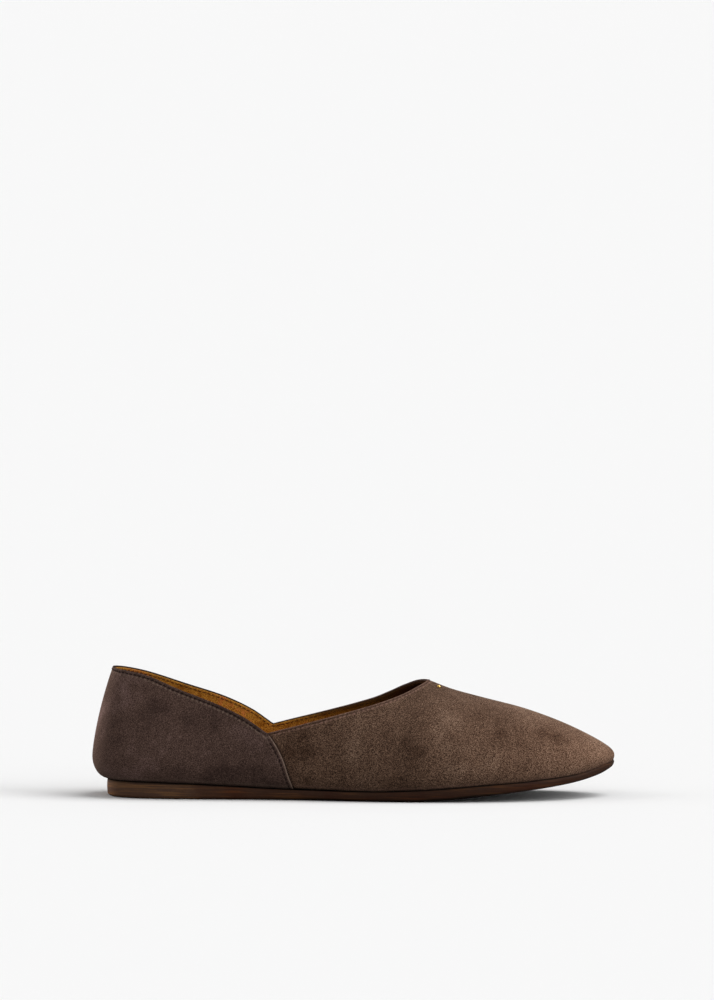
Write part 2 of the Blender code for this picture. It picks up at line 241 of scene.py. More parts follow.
def smooth_step(t: Array) -> Array:
    """Ease from 0 to 1 as t goes from 0 to 1."""
    t = np.clip(t, 0.0, 1.0)
    return t * t * (3.0 - 2.0 * t)


def bell(distance: Array, centre: float, width: float) -> Array:
    """Soft bump of height 1 about a centre."""
    return np.exp(-(((distance - centre) / width) ** 2))


class Ramp(NamedTuple):
    """Soft step from 0 to 1: where it starts, and how far on it is done."""

    start: float
    length: float

    def __call__(self, place: Array) -> Array:
        """Height of the step at a place."""
        return smooth_step((place - self.start) / self.length)


def unit(vectors: Array) -> Array:
    """Vectors brought to length 1."""
    return vectors / np.maximum(np.linalg.norm(vectors, axis=-1, keepdims=True), 1e-9)


def run_lengths(points: Array) -> Array:
    """Running length at each point of a line."""
    return np.concatenate(([0.0], np.cumsum(np.linalg.norm(np.diff(points, axis=0), axis=1))))


def points_at(places: Array, runs: Array, points: Array) -> Array:
    """Points of a line at some places, from the running length at each of its points."""
    return np.stack([np.interp(places, runs, axis) for axis in points.T], axis=1)


def resampled(points: Array, step: float) -> Array:
    """Points set evenly along a line, about a step apart, its ends among them."""
    runs = run_lengths(points)
    return points_at(np.linspace(0.0, runs[-1], max(int(runs[-1] / step), 2) + 1), runs, points)


def eased(points: Array, reach: int) -> Array:
    """Draw each point of a line to the middle of its neighbours, apart from the two ends.

    Args:
        points: Points of the line.
        reach: Number of neighbours on either side.

    Returns:
        Points of the smoother line.
    """
    share = np.ones(2 * reach + 1) / (2 * reach + 1)
    padded = np.pad(points, ((reach, reach), (0, 0)), mode="edge")
    middle = np.stack([np.convolve(axis, share, "valid") for axis in padded.T], axis=1)
    middle[0] = points[0]
    middle[-1] = points[-1]
    return middle


def solve(test: Callable[[Array], Array], low: Array, high: Array, halvings: int = 40) -> Array:
    """Find where a rising test passes through zero.

    Args:
        test: Function that is below zero at low and above it at high.
        low: Lower ends of the range.
        high: Upper ends of the range.
        halvings: How often the range is halved.

    Returns:
        Places of the zeros.
    """
    low = np.asarray(low, float)
    high = np.asarray(high, float)
    for _ in range(halvings):
        middle = (low + high) / 2.0
        below = test(middle) < 0.0
        low = np.where(below, middle, low)
        high = np.where(below, high, middle)
    return (low + high) / 2.0


class Track:
    """Smooth line through the rows of a table that keeps flat stretches flat."""

    def __init__(self, places: Sequence[float], values: Sequence[float]) -> None:
        """Work out the slope of the line at each row.

        Args:
            places: Rising places of the rows.
            values: Value at each place.
        """
        self.places = np.array(places, dtype=float)
        self.values = np.array(values, dtype=float)
        steps = np.diff(self.places)
        grades = np.diff(self.values) / steps
        self.slopes = np.zeros_like(self.values)
        self.slopes[0] = grades[0]
        self.slopes[-1] = grades[-1]
        for i in range(1, len(grades)):
            if grades[i - 1] * grades[i] > 0.0:
                near = 2.0 * steps[i] + steps[i - 1]
                far = steps[i] + 2.0 * steps[i - 1]
                self.slopes[i] = (near + far) / (near / grades[i - 1] + far / grades[i])

    def __call__(self, place: Array) -> Array:
        """Read the line.

        Args:
            place: Places to read it at.

        Returns:
            Values there, held level beyond the first and last rows.
        """
        place = np.clip(place, self.places[0], self.places[-1])
        i = np.clip(np.searchsorted(self.places, place, side="right") - 1, 0, len(self.places) - 2)
        step = self.places[i + 1] - self.places[i]
        t = (place - self.places[i]) / step
        start = (1.0 + 2.0 * t) * (1.0 - t) ** 2 * self.values[i]
        start = start + t * (1.0 - t) ** 2 * step * self.slopes[i]
        end = t * t * (3.0 - 2.0 * t) * self.values[i + 1]
        end = end + t * t * (t - 1.0) * step * self.slopes[i + 1]
        return start + end


class Ribs(NamedTuple):
    """Upright planes from the spine of the last out to its widest line."""

    foot: Array
    spine: Array
    outward: Array
    length: Array
    belly: Array
    tuck: Array
    power: Array
    ridge: Array
    slope: Array


@dataclass(eq=False)
class Last:
    """Form of the foot that the shoe is made on, measured from the heel back and the floor."""

    TURN_STEP = 0.002
    LEVEL_STEP = 0.02
    SEAM_TURNS = (0.1, 0.6)
    SEAM_SAMPLES = 200
    TINY = 0.001

    length: float = 260.0
    ball_width: float = 85.0
    instep_height: float = 57.5
    heel_height: float = 64.4
    throat_share: float = 0.643
    notch_share: float = 0.341
    heel_spine_share: float = 0.12
    toe_spine_share: float = 0.86
    spine_softness: float = 20.0
    lasting_margin: float = 6.0
    upper_wall: float = 1.6
    quarter_wall: float = 1.0
    gap: float = 0.3
    lap_gap: float = 0.06
    lap_clear: float = 1.0
    lap_ease: float = 32.0
    vamp_wall: float = 1.0
    tab: float = 7.0
    tab_wall: float = 0.3
    tab_ease: float = 4.0
    collar_bend: float = 0.95
    most_bend: float = 3.0
    rim_rise: float = 0.15
    rim_ease: float = 12.0

    def __post_init__(self) -> None:
        """Draw the lines of the tables and the two halves of the widest line."""
        self.throat_x = self.throat_share * self.length
        self.notch_x = self.notch_share * self.length
        self.feather_height = self.column(SECTIONS, "feather", self.instep_height)
        self.belly_height = self.column(SECTIONS, "belly", self.instep_height)
        self.ridge_height = self.column(RIDGE, "height", self.instep_height)
        self.ridge_shift = self.column(RIDGE, "shift")
        self.tread_lift = self.column(TREAD, "lift")
        self.sole_ledge = self.column(TREAD, "ledge")
        self.tuck_depth = {}
        self.arch_power = {}
        self.quarter_collar = {}
        self.vamp_collar = {}
        for side in Side:
            name = side.name.lower()
            self.tuck_depth[side] = self.column(SECTIONS, "tuck_" + name, self.ball_width)
            self.arch_power[side] = self.column(SECTIONS, "power_" + name)
            self.quarter_collar[side] = self.column(QUARTER_COLLAR, name, self.heel_height)
            self.vamp_collar[side] = self.column(VAMP_COLLAR, name, self.instep_height)
        heights = [row.height * self.instep_height for row in SEAM]
        self.seam_place = Track(heights, [row.along * self.length for row in SEAM])
        outline = self.closed_outline()
        heel = int(np.argmin(outline[:, 0]))
        self.halves = {}
        for side, half in ((Side.LATERAL, outline[: heel + 1][::-1]), (Side.MEDIAL, outline[heel:])):
            runs = run_lengths(half)
            self.halves[side] = (half, runs / runs[-1])
        middle = (outline[:, 1].min() + outline[:, 1].max()) / 2.0
        self.origin = np.array((self.length / 2.0, middle, 0.0))
        self.throat_turn = float(self.turn_at_spine(self.throat_x))

    def column(self, rows: Sequence[NamedTuple], name: str, scale: float = 1.0) -> Track:
        """Track of one column of a table along the shoe, its shares brought to a scale."""
        return Track([row.along * self.length for row in rows], [getattr(row, name) * scale for row in rows])

    def closed_outline(self, samples: int = 160) -> Array:
        """Draw the widest line through its marks.

        Args:
            samples: Points between one mark and the next.

        Returns:
            Points from the toe tip round the lateral side, heel and medial side.
        """
        marks = [np.array((mark.along * self.length, mark.across * self.ball_width)) for mark in OUTLINE]
        count = len(marks)
        t = np.arange(samples)[:, None] / samples
        runs = []
        for i in range(count):
            before, start, end, after = (marks[(i + k) % count] for k in (-1, 0, 1, 2))
            pairs = ((before, start), (start, end), (end, after))
            back, here, ahead = (math.sqrt(np.linalg.norm(b - a)) for a, b in pairs)
            leave = (start - before) / back - (end - before) / (back + here) + (end - start) / here
            reach = (end - start) / here - (after - start) / (here + ahead) + (after - end) / ahead
            run = (1.0 + 2.0 * t) * (1.0 - t) ** 2 * start + t * t * (3.0 - 2.0 * t) * end
            runs.append(run + here * (t * (1.0 - t) ** 2 * leave + t * t * (t - 1.0) * reach))
        return np.concatenate(runs + [marks[0][None, :]])

    def by_side(self, turn: Array, tracks: dict[Side, Track], place: Array) -> Array:
        """Value of each side's track, picked by the sign of the turn."""
        return np.where(turn < 0.0, *(tracks[side](place) for side in Side))

    def outline_point(self, turn: Array) -> Array:
        """Follow the widest line.

        Args:
            turn: Turns to go to.

        Returns:
            Points in plan.
        """
        axes = []
        for k in (0, 1):
            reaches = []
            for side in Side:
                half, shares = self.halves[side]
                reaches.append(np.interp(np.abs(turn), shares, half[:, k]))
            axes.append(np.where(turn < 0.0, *reaches))
        return np.stack(axes, axis=-1)

    def spine_place(self, turn: Array) -> Array:
        """Find where both ribs of a turn end.

        Args:
            turn: Turns of the ribs.

        Returns:
            Places along the spine, held back softly from heel and toe.
        """
        reach = np.abs(turn)
        ends = self.outline_point(-reach)[..., 0] + self.outline_point(reach)[..., 0]
        heel = self.heel_spine_share * self.length
        toe = self.toe_spine_share * self.length
        from_heel = (ends / 2.0 + heel + np.hypot(ends / 2.0 - heel, self.spine_softness)) / 2.0
        return (from_heel + toe - np.hypot(from_heel - toe, self.spine_softness)) / 2.0

    def turn_at_spine(self, place: float) -> Array:
        """Turn whose ribs end at a place on the spine."""
        return solve(lambda turn: self.spine_place(turn) - place, 0.0, 1.0)

    def ribs(self, turn: Array) -> Ribs:
        """Work out the ribs at some turns.

        Args:
            turn: Turns of the ribs, of any shape.

        Returns:
            Ribs with arrays of that shape.
        """
        turn = np.where(turn > 1.0, turn - 2.0, np.where(turn < -1.0, turn + 2.0, turn))
        foot = self.outline_point(turn)
        place = self.spine_place(turn)
        spine = np.stack((place, self.ridge_shift(place)), axis=-1)
        return Ribs(
            foot=foot,
            spine=spine,
            outward=unit(foot - spine),
            length=np.linalg.norm(foot - spine, axis=-1),
            belly=self.belly_height(foot[..., 0]),
            tuck=self.by_side(turn, self.tuck_depth, foot[..., 0]),
            power=self.by_side(turn, self.arch_power, foot[..., 0]),
            ridge=self.ridge_height(place),
            slope=(self.ridge_height(place + 1.0) - self.ridge_height(place - 1.0)) / 2.0,
        )

    def along_ribs(self, ribs: Ribs, out: Array, height: Array) -> Array:
        """Place points on ribs.

        Args:
            ribs: Ribs to go along.
            out: Distances out from the spine.
            height: Heights over the floor.

        Returns:
            Points, with their three axes last.
        """
        x = ribs.spine[..., 0] + ribs.outward[..., 0] * out
        y = ribs.spine[..., 1] + ribs.outward[..., 1] * out
        return np.stack(np.broadcast_arrays(x, y, height), axis=-1)

    def place_out(self, ribs: Ribs, out: Array) -> Array:
        """Place along the shoe of points at some distance out from the spine."""
        return ribs.spine[..., 0] + ribs.outward[..., 0] * out

    def arch(self, ribs: Ribs, sweep: Array) -> tuple[Array, Array]:
        """Follow the arches of ribs from the widest line at 0 to the ridge at a quarter turn.

        Args:
            ribs: Ribs to follow.
            sweep: Angle of sweep on each.

        Returns:
            Distances out from the spine, and heights.
        """
        out = ribs.length * np.maximum(np.cos(sweep), 0.0) ** (2.0 / ribs.power)
        rise = np.sin(sweep) ** (2.0 / ribs.power)
        crown = ribs.ridge - ribs.belly + ribs.slope * ribs.outward[..., 0] * out
        return out, ribs.belly + crown * rise

    def collar(self, turn: Array, place: Array) -> Array:
        """Find the height of the collar.

        Args:
            turn: Turns, whose sign tells the side.
            place: Places along the shoe.

        Returns:
            Heights, less the rise of the rounded rim that stands there.
        """
        quarter = self.by_side(turn, self.quarter_collar, place)
        vamp = self.by_side(turn, self.vamp_collar, place)
        rise = self.rim_rise * smooth_step((self.throat_x - place) / self.rim_ease)
        return np.where(place < self.notch_x, quarter, vamp) - rise

    def top_sweep(self, turn: Array, ribs: Ribs) -> Array:
        """Find where each arch ends.

        Args:
            turn: Turns of the ribs.
            ribs: Ribs of those turns.

        Returns:
            Sweeps at the collar, or a quarter turn where the rib runs to the ridge.
        """

        def above_collar(sweep: Array) -> Array:
            """Height over the collar at a sweep."""
            out, height = self.arch(ribs, sweep)
            return height - self.collar(turn, self.place_out(ribs, out))

        full = np.full(ribs.length.shape, QUARTER_TURN)
        cut = solve(above_collar, np.zeros_like(full), full)
        return np.where(ribs.spine[..., 0] >= self.throat_x - self.TINY, full, cut)

    def skin(self, turn: Array, level: Array) -> Array:
        """Place points on the outer skin of the shoe.

        Args:
            turn: Turns of the points.
            level: Levels of the points, of a shape that goes with the turns.

        Returns:
            Points, with their three axes last.
        """
        turn = np.asarray(turn, float)
        level = np.asarray(level, float)
        ribs = self.ribs(turn)
        side = np.clip(level, 0.0, 1.0)
        short = QUARTER_TURN - self.top_sweep(turn, ribs)
        bend = np.clip(self.collar_bend * QUARTER_TURN / np.maximum(short, self.TINY), 1.0, self.most_bend)
        side_out, side_height = self.arch(ribs, QUARTER_TURN * side - short * side**bend)
        tuck_sweep = (np.clip(level, -1.0, 0.0) + 1.0) * QUARTER_TURN
        margin = self.lasting_margin * np.maximum(-1.0 - level, 0.0)
        tuck_out = ribs.length - ribs.tuck * (1.0 - np.sin(tuck_sweep)) - margin
        feather = self.feather_height(self.place_out(ribs, tuck_out))
        tuck_height = ribs.belly - (ribs.belly - feather) * np.cos(tuck_sweep)
        out = np.where(level < 0.0, tuck_out, side_out)
        return self.along_ribs(ribs, out, np.where(level < 0.0, tuck_height, side_height))

    def normal(self, turn: Array, level: Array) -> Array:
        """Find the way out of the skin.

        Args:
            turn: Turns of the points.
            level: Levels of the points.

        Returns:
            Directions of unit length, with their three axes last.
        """
        turn = np.asarray(turn, float)
        level = np.asarray(level, float)
        ahead, behind = (self.skin(turn + step, level) for step in (self.TURN_STEP, -self.TURN_STEP))
        above = self.skin(turn, np.minimum(level + self.LEVEL_STEP, TOP_LEVEL))
        below = self.skin(turn, np.maximum(level - self.LEVEL_STEP, MARGIN_LEVEL))
        return unit(np.cross(above - below, ahead - behind))

    def reach_at(self, side: Side, level: float, place: float) -> float:
        """Find where a level passes a place along the shoe.

        Args:
            side: Side of the shoe.
            level: Level to follow.
            place: Place along the shoe.

        Returns:
            Turn there, without its sign.
        """

        def past_place(reach: Array) -> Array:
            """Distance in front of the place."""
            return self.skin(side.value * reach, level)[..., 0] - place

        return float(solve(past_place, 0.05, 0.95))

    def seam_turn(self, side: Side, level: Array, back: float = 0.0) -> Array:
        """Turn, without its sign, where levels cross the front edge of the quarter.

        Args:
            side: Side of the shoe.
            level: Levels to cross at.
            back: Distance behind that edge.

        Returns:
            Turns of the crossings.
        """

        def past_seam(turn: Array) -> Array:
            """Distance in front of the edge."""
            return self.ahead(self.skin(side.value * turn, level)) + back

        return solve(past_seam, *(np.full(np.shape(level), turn) for turn in self.SEAM_TURNS))

    def seam_lines(self, back: float = 0.0) -> list[tuple[Array, Array]]:
        """Levels and unsigned turns up each side's quarter front, or of a line some way behind it."""
        levels = np.linspace(MARGIN_LEVEL, TOP_LEVEL, self.SEAM_SAMPLES)
        return [(levels, self.seam_turn(side, levels, back)) for side in Side]

    def lap_depth(self, place: Array) -> Array:
        """Depth of the vamp under the skin: room for the quarter behind the seam, easing out in front."""
        start = SEAM[0].along * self.length + self.lap_clear
        return (self.quarter_wall + self.lap_gap) * (1.0 - smooth_step((place - start) / self.lap_ease))

    def ahead(self, points: Array) -> Array:
        """Distance of points in front of the quarter's front edge."""
        return points[..., 0] - self.seam_place(points[..., 2])

    def pared_wall(self, ahead: Array) -> Array:
        """Wall of the vamp, pared thin on the tab that lies under the quarter."""
        full = Ramp(-self.tab, self.tab + self.tab_ease)(ahead)
        return self.tab_wall + (self.vamp_wall - self.tab_wall) * full

    def world(self, points: Array) -> Array:
        """Points in metres about the shoe's own origin."""
        return (points - self.origin) * MM


def turn_inside(lines: Sequence[tuple[Array, Array]], lateral: Array, level: Array) -> Array:
    """Unsigned turns at some levels, from the lateral or the medial line."""
    return np.where(lateral, *(np.interp(level, *line) for line in lines))


class EdgeLine:
    """Line along an edge that can tell how far points lie from it."""

    STEP = 0.25

    def __init__(self, points: Array) -> None:
        """Sort the points of the line for searching.

        Args:
            points: Points along the edge.
        """
        self.points = resampled(points, self.STEP)
        self.tree = KDTree(len(self.points))
        for i, point in enumerate(self.points):
            self.tree.insert(point, i)
        self.tree.balance()

    def nearest(self, points: Array) -> tuple[Array, Array]:
        """Measure how far points lie from the edge.

        Args:
            points: Points, with their three axes last.

        Returns:
            Distances from the edge, and running lengths along it.
        """
        found = [self.tree.find(point)[1:] for point in points.reshape(-1, 3)]
        index, distance = np.array(found).T
        return distance.reshape(points.shape[:-1]), (index * self.STEP).reshape(points.shape[:-1])


@dataclass(frozen=True)
class TurnedEdge:
    """Folded edge of a panel: a soft bead, then the groove that the stitches pull, with painted highlights
    along the edge and in flecks below, and painted shade on the rim.
    """

    bead: float = 0.16
    bead_at: float = 0.75
    bead_width: float = 0.55
    groove: float = 0.24
    groove_at: float = 1.55
    groove_width: float = 0.45
    pucker: float = 0.8
    pitch: float = 2.4
    # Pale colour along the edge, from rubbing and a painted highlight; flecks of painted highlight where the
    # nap swells; painted shade along the rim.
    worn: float = 0.6
    worn_width: float = 0.4
    flecks: float = 0.4
    fleck_width: float = 0.35
    soil: float = 0.0
    soil_width: float = 0.8

    def relief(self, distance: Array, run: Array) -> Array:
        """Height of the edge's form over the plain skin.

        Args:
            distance: Distances from the edge.
            run: Running lengths along it.

        Returns:
            Heights, below zero in the groove.
        """
        pull = 1.0 - self.pucker * np.cos(2.0 * math.pi * run / self.pitch)
        groove = self.groove * pull * bell(distance, self.groove_at, self.groove_width)
        return self.bead * bell(distance, self.bead_at, self.bead_width) - groove

    def wear(self, distance: Array, run: Array) -> Array:
        """Share of paler colour: rubbing and a painted highlight along the edge, and painted highlights in
        flecks where the nap swells between stitches.

        Args:
            distance: Distances from the edge.
            run: Running lengths along it.

        Returns:
            Shares from 0 to 1.
        """
        between = smooth_step(0.5 + np.cos(2.0 * math.pi * run / self.pitch))
        below = bell(distance, self.groove_at + 2.0 * self.fleck_width, self.fleck_width)
        return np.maximum(self.worn * bell(distance, 0.0, self.worn_width), self.flecks * between * below)

    def soiling(self, distance: Array) -> Array:
        """Share of painted shade along the rim of the edge."""
        return self.soil * bell(distance, 0.0, self.soil_width)


class Crease(NamedTuple):
    """Soft trough in a panel, from one place and level to another, with a low ridge on each side."""

    side: Side
    from_along: float
    from_level: float
    to_along: float
    to_level: float
    width: float
    depth: float


VAMP_CREASES = (
    Crease(Side.LATERAL, 0.600, -0.55, 0.575, 0.45, 5.5, 0.30),
    Crease(Side.LATERAL, 0.690, -0.50, 0.655, 0.52, 5.0, 0.34),
    Crease(Side.LATERAL, 0.760, -0.45, 0.735, 0.50, 5.5, 0.26),
    Crease(Side.LATERAL, 0.470, -0.60, 0.450, 0.50, 6.0, 0.22),
    Crease(Side.MEDIAL, 0.640, -0.50, 0.615, 0.45, 5.5, 0.30),
    Crease(Side.MEDIAL, 0.720, -0.45, 0.690, 0.52, 5.0, 0.34),
    Crease(Side.MEDIAL, 0.500, -0.60, 0.480, 0.50, 6.0, 0.24),
)

QUARTER_CREASES = tuple(
    Crease(side, *sizes)
    for side in Side
    for sizes in ((0.215, -0.50, 0.190, 0.62, 6.5, 0.32), (0.305, -0.45, 0.275, 0.55, 5.5, 0.24))
)

BANK_SHARE = 0.55
BANK_AT = 1.9
CREASE_END = 0.08


def crease_relief(last: Last, creases: Sequence[Crease], points: Array, turn: Array) -> Array:
    """Work out the form of the creases of a panel.

    Args:
        last: Last that the panel lies on.
        creases: Creases of the panel.
        points: Points of the panel.
        turn: Turns of those points.

    Returns:
        Heights over the plain skin.
    """
    relief = np.zeros(points.shape[:-1])
    for crease in creases:
        ends = []
        for along, level in ((crease.from_along, crease.from_level), (crease.to_along, crease.to_level)):
            reach = last.reach_at(crease.side, level, along * last.length)
            ends.append(last.skin(crease.side.value * reach, level))
        start, end = ends
        run = end - start
        share = np.clip(((points - start) @ run) / (run @ run), 0.0, 1.0)
        distance = np.linalg.norm(points - start - share[..., None] * run, axis=-1)
        banks = BANK_SHARE * bell(distance, BANK_AT * crease.width, crease.width)
        trough = bell(distance, 0.0, crease.width) - banks
        fade = np.sin(math.pi * (CREASE_END + (1.0 - 2.0 * CREASE_END) * share))
        relief -= crease.depth * trough * fade * (np.sign(turn) == crease.side.value)
    return relief


class BrushMark(NamedTuple):
    """Patch of nap brushed lighter or darker, in side view.

    Its place is in shares of the length and instep height, its half sizes are in millimetres, its lean is in
    degrees, and its tone goes from -1, dark, to 1, light.
    """

    along: float
    up: float
    half_length: float
    half_height: float
    lean: float
    tone: float


VAMP_BRUSHING = (
    BrushMark(0.378, 0.40, 9.0, 16.0, 10.0, -1.0),
    BrushMark(0.428, 0.46, 7.0, 9.0, 0.0, -0.6),
    BrushMark(0.505, 0.42, 7.0, 10.0, 0.0, 0.5),
    BrushMark(0.588, 0.72, 9.0, 6.0, 20.0, 0.6),
    BrushMark(0.608, 0.42, 10.0, 16.0, 0.0, -0.65),
    BrushMark(0.704, 0.30, 10.0, 6.0, 5.0, 0.5),
    BrushMark(0.705, 0.66, 11.0, 7.0, -15.0, 0.5),
    BrushMark(0.745, 0.74, 10.0, 4.0, -25.0, -0.2),
    BrushMark(0.806, 0.50, 16.0, 7.0, -15.0, -0.45),
    BrushMark(0.822, 0.28, 8.0, 6.0, 0.0, -0.4),
    BrushMark(0.850, 0.69, 8.0, 4.0, -25.0, 0.5),
    BrushMark(0.885, 0.52, 9.0, 5.0, -35.0, -0.4),
    BrushMark(0.970, 0.44, 6.0, 5.0, -30.0, 0.4),
)

QUARTER_BRUSHING = (
    # Light patch high on the heel back: a painted highlight where the rim light falls.
    BrushMark(0.012, 0.83, 5.0, 11.0, 12.0, 1.0),
    BrushMark(0.015, 0.36, 8.0, 9.0, 0.0, -0.4),
    BrushMark(0.050, 0.63, 4.0, 7.0, 0.0, -0.4),
    BrushMark(0.065, 0.89, 4.0, 9.0, 0.0, 0.5),
    BrushMark(0.115, 0.79, 7.0, 7.0, 0.0, -0.4),
    BrushMark(0.165, 0.57, 8.0, 8.0, 0.0, 0.6),
    BrushMark(0.222, 0.44, 9.0, 7.0, -20.0, 0.5),
    BrushMark(0.200, 0.68, 9.0, 7.0, -30.0, -0.5),
    BrushMark(0.300, 0.27, 18.0, 7.0, 0.0, -0.4),
    BrushMark(0.305, 0.52, 8.0, 7.0, -40.0, 0.4),
)


def brushed_tone(last: Last, marks: Sequence[BrushMark], points: Array) -> Array:
    """Work out how light or dark the nap of a panel is brushed.

    Args:
        last: Last that the panel lies on.
        marks: Patches of the panel.
        points: Points of the panel.

    Returns:
        Tones from -1 to 1.
    """
    tone = np.zeros(points.shape[:-1])
    for mark in marks:
        lean = math.radians(mark.lean)
        along = points[..., 0] - mark.along * last.length
        up = points[..., 2] - mark.up * last.instep_height
        run = along * math.cos(lean) + up * math.sin(lean)
        rise = up * math.cos(lean) - along * math.sin(lean)
        tone += mark.tone * bell(run, 0.0, mark.half_length) * bell(rise, 0.0, mark.half_height)
    return np.clip(tone, -1.0, 1.0)


FINE_ROWS = (0.0, 0.3, 0.6, 0.9, 1.2, 1.5, 1.8, 2.2, 2.7, 3.3, 4.2, 5.4, 7.0)
FINE_SHARES = (0.05, 0.5)
LEVEL_SAMPLES = 360


class Laid(NamedTuple):
    """Panel on the last: turns, levels, points of the skin and outward directions by column and row."""

    turn: Array
    level: Array
    skin: Array
    normal: Array


def lay(last: Last, turn_of: Callable[[Array], Array], low: float, fine: Sequence[float], rows: int) -> Laid:
    """Lay a panel on the last, its rows close together at the top edge and even below.

    Args:
        last: Last that the panel lies on.
        turn_of: Turns of the panel's columns at some levels.
        low: Lowest level.
        fine: Distances of the first rows from the top edge.
        rows: Number of rows below those.

    Returns:
        The panel without its relief, each column from the bottom up.
    """
    levels = np.linspace(low, TOP_LEVEL, LEVEL_SAMPLES)[None, :]
    points = last.skin(turn_of(levels), levels)
    steps = np.linalg.norm(np.diff(points, axis=1), axis=-1)
    depth = np.concatenate((np.cumsum(steps[:, ::-1], axis=1)[:, ::-1], np.zeros((len(steps), 1))), axis=1)
    shares = np.arange(1, rows + 1) / rows
    laid = []
    for column in depth:
        first = np.minimum(fine, np.linspace(*FINE_SHARES, len(fine)) * column[0])
        places = np.concatenate((first, first[-1] + (column[0] - first[-1]) * shares))
        laid.append(np.interp(places[::-1], column[::-1], levels[0, ::-1]))
    level = np.array(laid)
    turn = turn_of(level)
    return Laid(turn, level, last.skin(turn, level), last.normal(turn, level))


def compact(ids: Array) -> Array:
    """Numbers of vertices without the unused ones."""
    return np.unique(ids, return_inverse=True)[1].reshape(ids.shape)


def by_number(points: Array, ids: Array) -> Array:
    """Put points in the order of their vertices.

    Args:
        points: Points by column and row.
        ids: Number of the vertex at each of them.

    Returns:
        Points by vertex, the first one where several share it.
    """
    placed = np.zeros((int(ids.max()) + 1, 3))
    placed[ids[::-1].ravel()] = points[::-1].reshape(-1, 3)
    return placed


def grid_faces(ids: Array, closed: bool) -> list[list[int]]:
    """Join the vertices of a grid by faces.

    Args:
        ids: Number of the vertex at each column and row, the same where columns meet.
        closed: Whether the last column joins the first.

    Returns:
        Corners of each face, without corners that repeat.
    """
    follow = np.roll(ids, -1, axis=0) if closed else ids[1:]
    lead = ids if closed else ids[:-1]
    quads = np.stack((lead[:, :-1], lead[:, 1:], follow[:, 1:], follow[:, :-1]), axis=-1).reshape(-1, 4)
    faces = [[a for a, b in zip(quad, quad[1:] + quad[:1]) if a != b] for quad in quads.tolist()]
    return [face for face in faces if len(face) > 2]


class Shell:
    """Closed wall between an outer and an inner sheet, with rounded rims."""

    RIM_STEPS = 6
    INNER_SHARE = 1.6

    def __init__(self, outer: Array, inner: Array, ids: Array, closed: bool, rim_round: float) -> None:
        """Join the sheets into one body.

        Args:
            outer: Points of the outer sheet by column and row.
            inner: Points of the inner sheet, in the same order.
            ids: Number of the vertex at each column and row, the same where columns meet.
            closed: Whether the last column joins the first.
            rim_round: Bulge of the rims as a share of half the wall.
        """
        self.ids = ids
        self.outer = by_number(outer, ids)
        self.inner = by_number(inner, ids)
        self.count = len(self.outer)
        self.faces = grid_faces(ids, closed)
        self.points = [self.outer, self.inner]
        self.rims = []
        self.walls = [[i + self.count for i in face[::-1]] for face in self.faces]
        for loop in self.rim_loops():
            self.add_rim(loop, rim_round)

    def rim_loops(self) -> list[list[int]]:
        """Follow the free edges of the outer sheet.

        Returns:
            Loops of vertices, in the order of its faces.
        """
        edges = {(a, b) for face in self.faces for a, b in zip(face, face[1:] + face[:1])}
        follow = {a: b for a, b in edges if (b, a) not in edges}
        loops = []
        while follow:
            start, step = next(iter(follow.items()))
            loop = [start]
            del follow[start]
            while step != start and step in follow:
                loop.append(step)
                step = follow.pop(step)
            loops.append(loop)
        return loops

    def add_rim(self, loop: list[int], rim_round: float) -> None:
        """Close the wall along one loop with a rounded rim.

        Args:
            loop: Vertices of the outer sheet along the rim.
            rim_round: Bulge of the rim as a share of half the wall.
        """
        outer = self.outer[loop]
        half = (outer - self.inner[loop]) / 2.0
        along = unit(np.roll(outer, -1, axis=0) - np.roll(outer, 1, axis=0))
        away = unit(np.cross(along, unit(half)))
        bulge = np.linalg.norm(half, axis=1, keepdims=True) * rim_round
        rings = [np.array(loop)]
        for k in range(1, self.RIM_STEPS):
            angle = math.pi * k / self.RIM_STEPS
            start = sum(len(points) for points in self.points)
            self.points.append(outer - half + half * math.cos(angle) + away * bulge * math.sin(angle))
            rings.append(np.arange(start, start + len(loop)))
            across = min(self.INNER_SHARE * k / self.RIM_STEPS, 1.0)
            self.rims.append((np.array(loop), rings[-1], across))
        rings.append(np.array(loop) + self.count)
        for upper, lower in zip(rings, rings[1:]):
            corners = (np.roll(upper, -1), upper, lower, np.roll(lower, -1))
            self.walls += np.stack(corners, axis=-1).tolist()

    def make(
        self, name: str, last: Last, masks: dict[str, Array], inside: dict[str, Array] | None = None
    ) -> Piece:
        """Make the object of the wall.

        Args:
            name: Name of the object.
            last: Last that places it.
            masks: Named shares, such as pale edges, painted highlights or painted shade, at each column and
                row.
            inside: The shares that are others on the inner sheet.

        Returns:
            Object with its masks as attributes.
        """
        inner = masks | (inside or {})
        piece = mesh_piece(name, last.world(np.concatenate(self.points)), self.faces + self.walls)
        for mask, values in masks.items():
            shares = np.zeros(sum(len(points) for points in self.points))
            shares[self.ids.ravel()] = values.ravel()
            shares[self.ids.ravel() + self.count] = inner[mask].ravel()
            for loop, ring, across in self.rims:
                shares[ring] = shares[loop] * (1.0 - across) + shares[loop + self.count] * across
            add_mask(piece, mask, shares)
        return piece

    def surface(self) -> BVHTree:
        """Outer sheet, ready for finding points on it."""
        return BVHTree.FromPolygons(self.outer.tolist(), self.faces)

    def inside(self) -> BVHTree:
        """Inner sheet, ready for finding points on it."""
        return BVHTree.FromPolygons(self.inner.tolist(), [face[::-1] for face in self.faces])


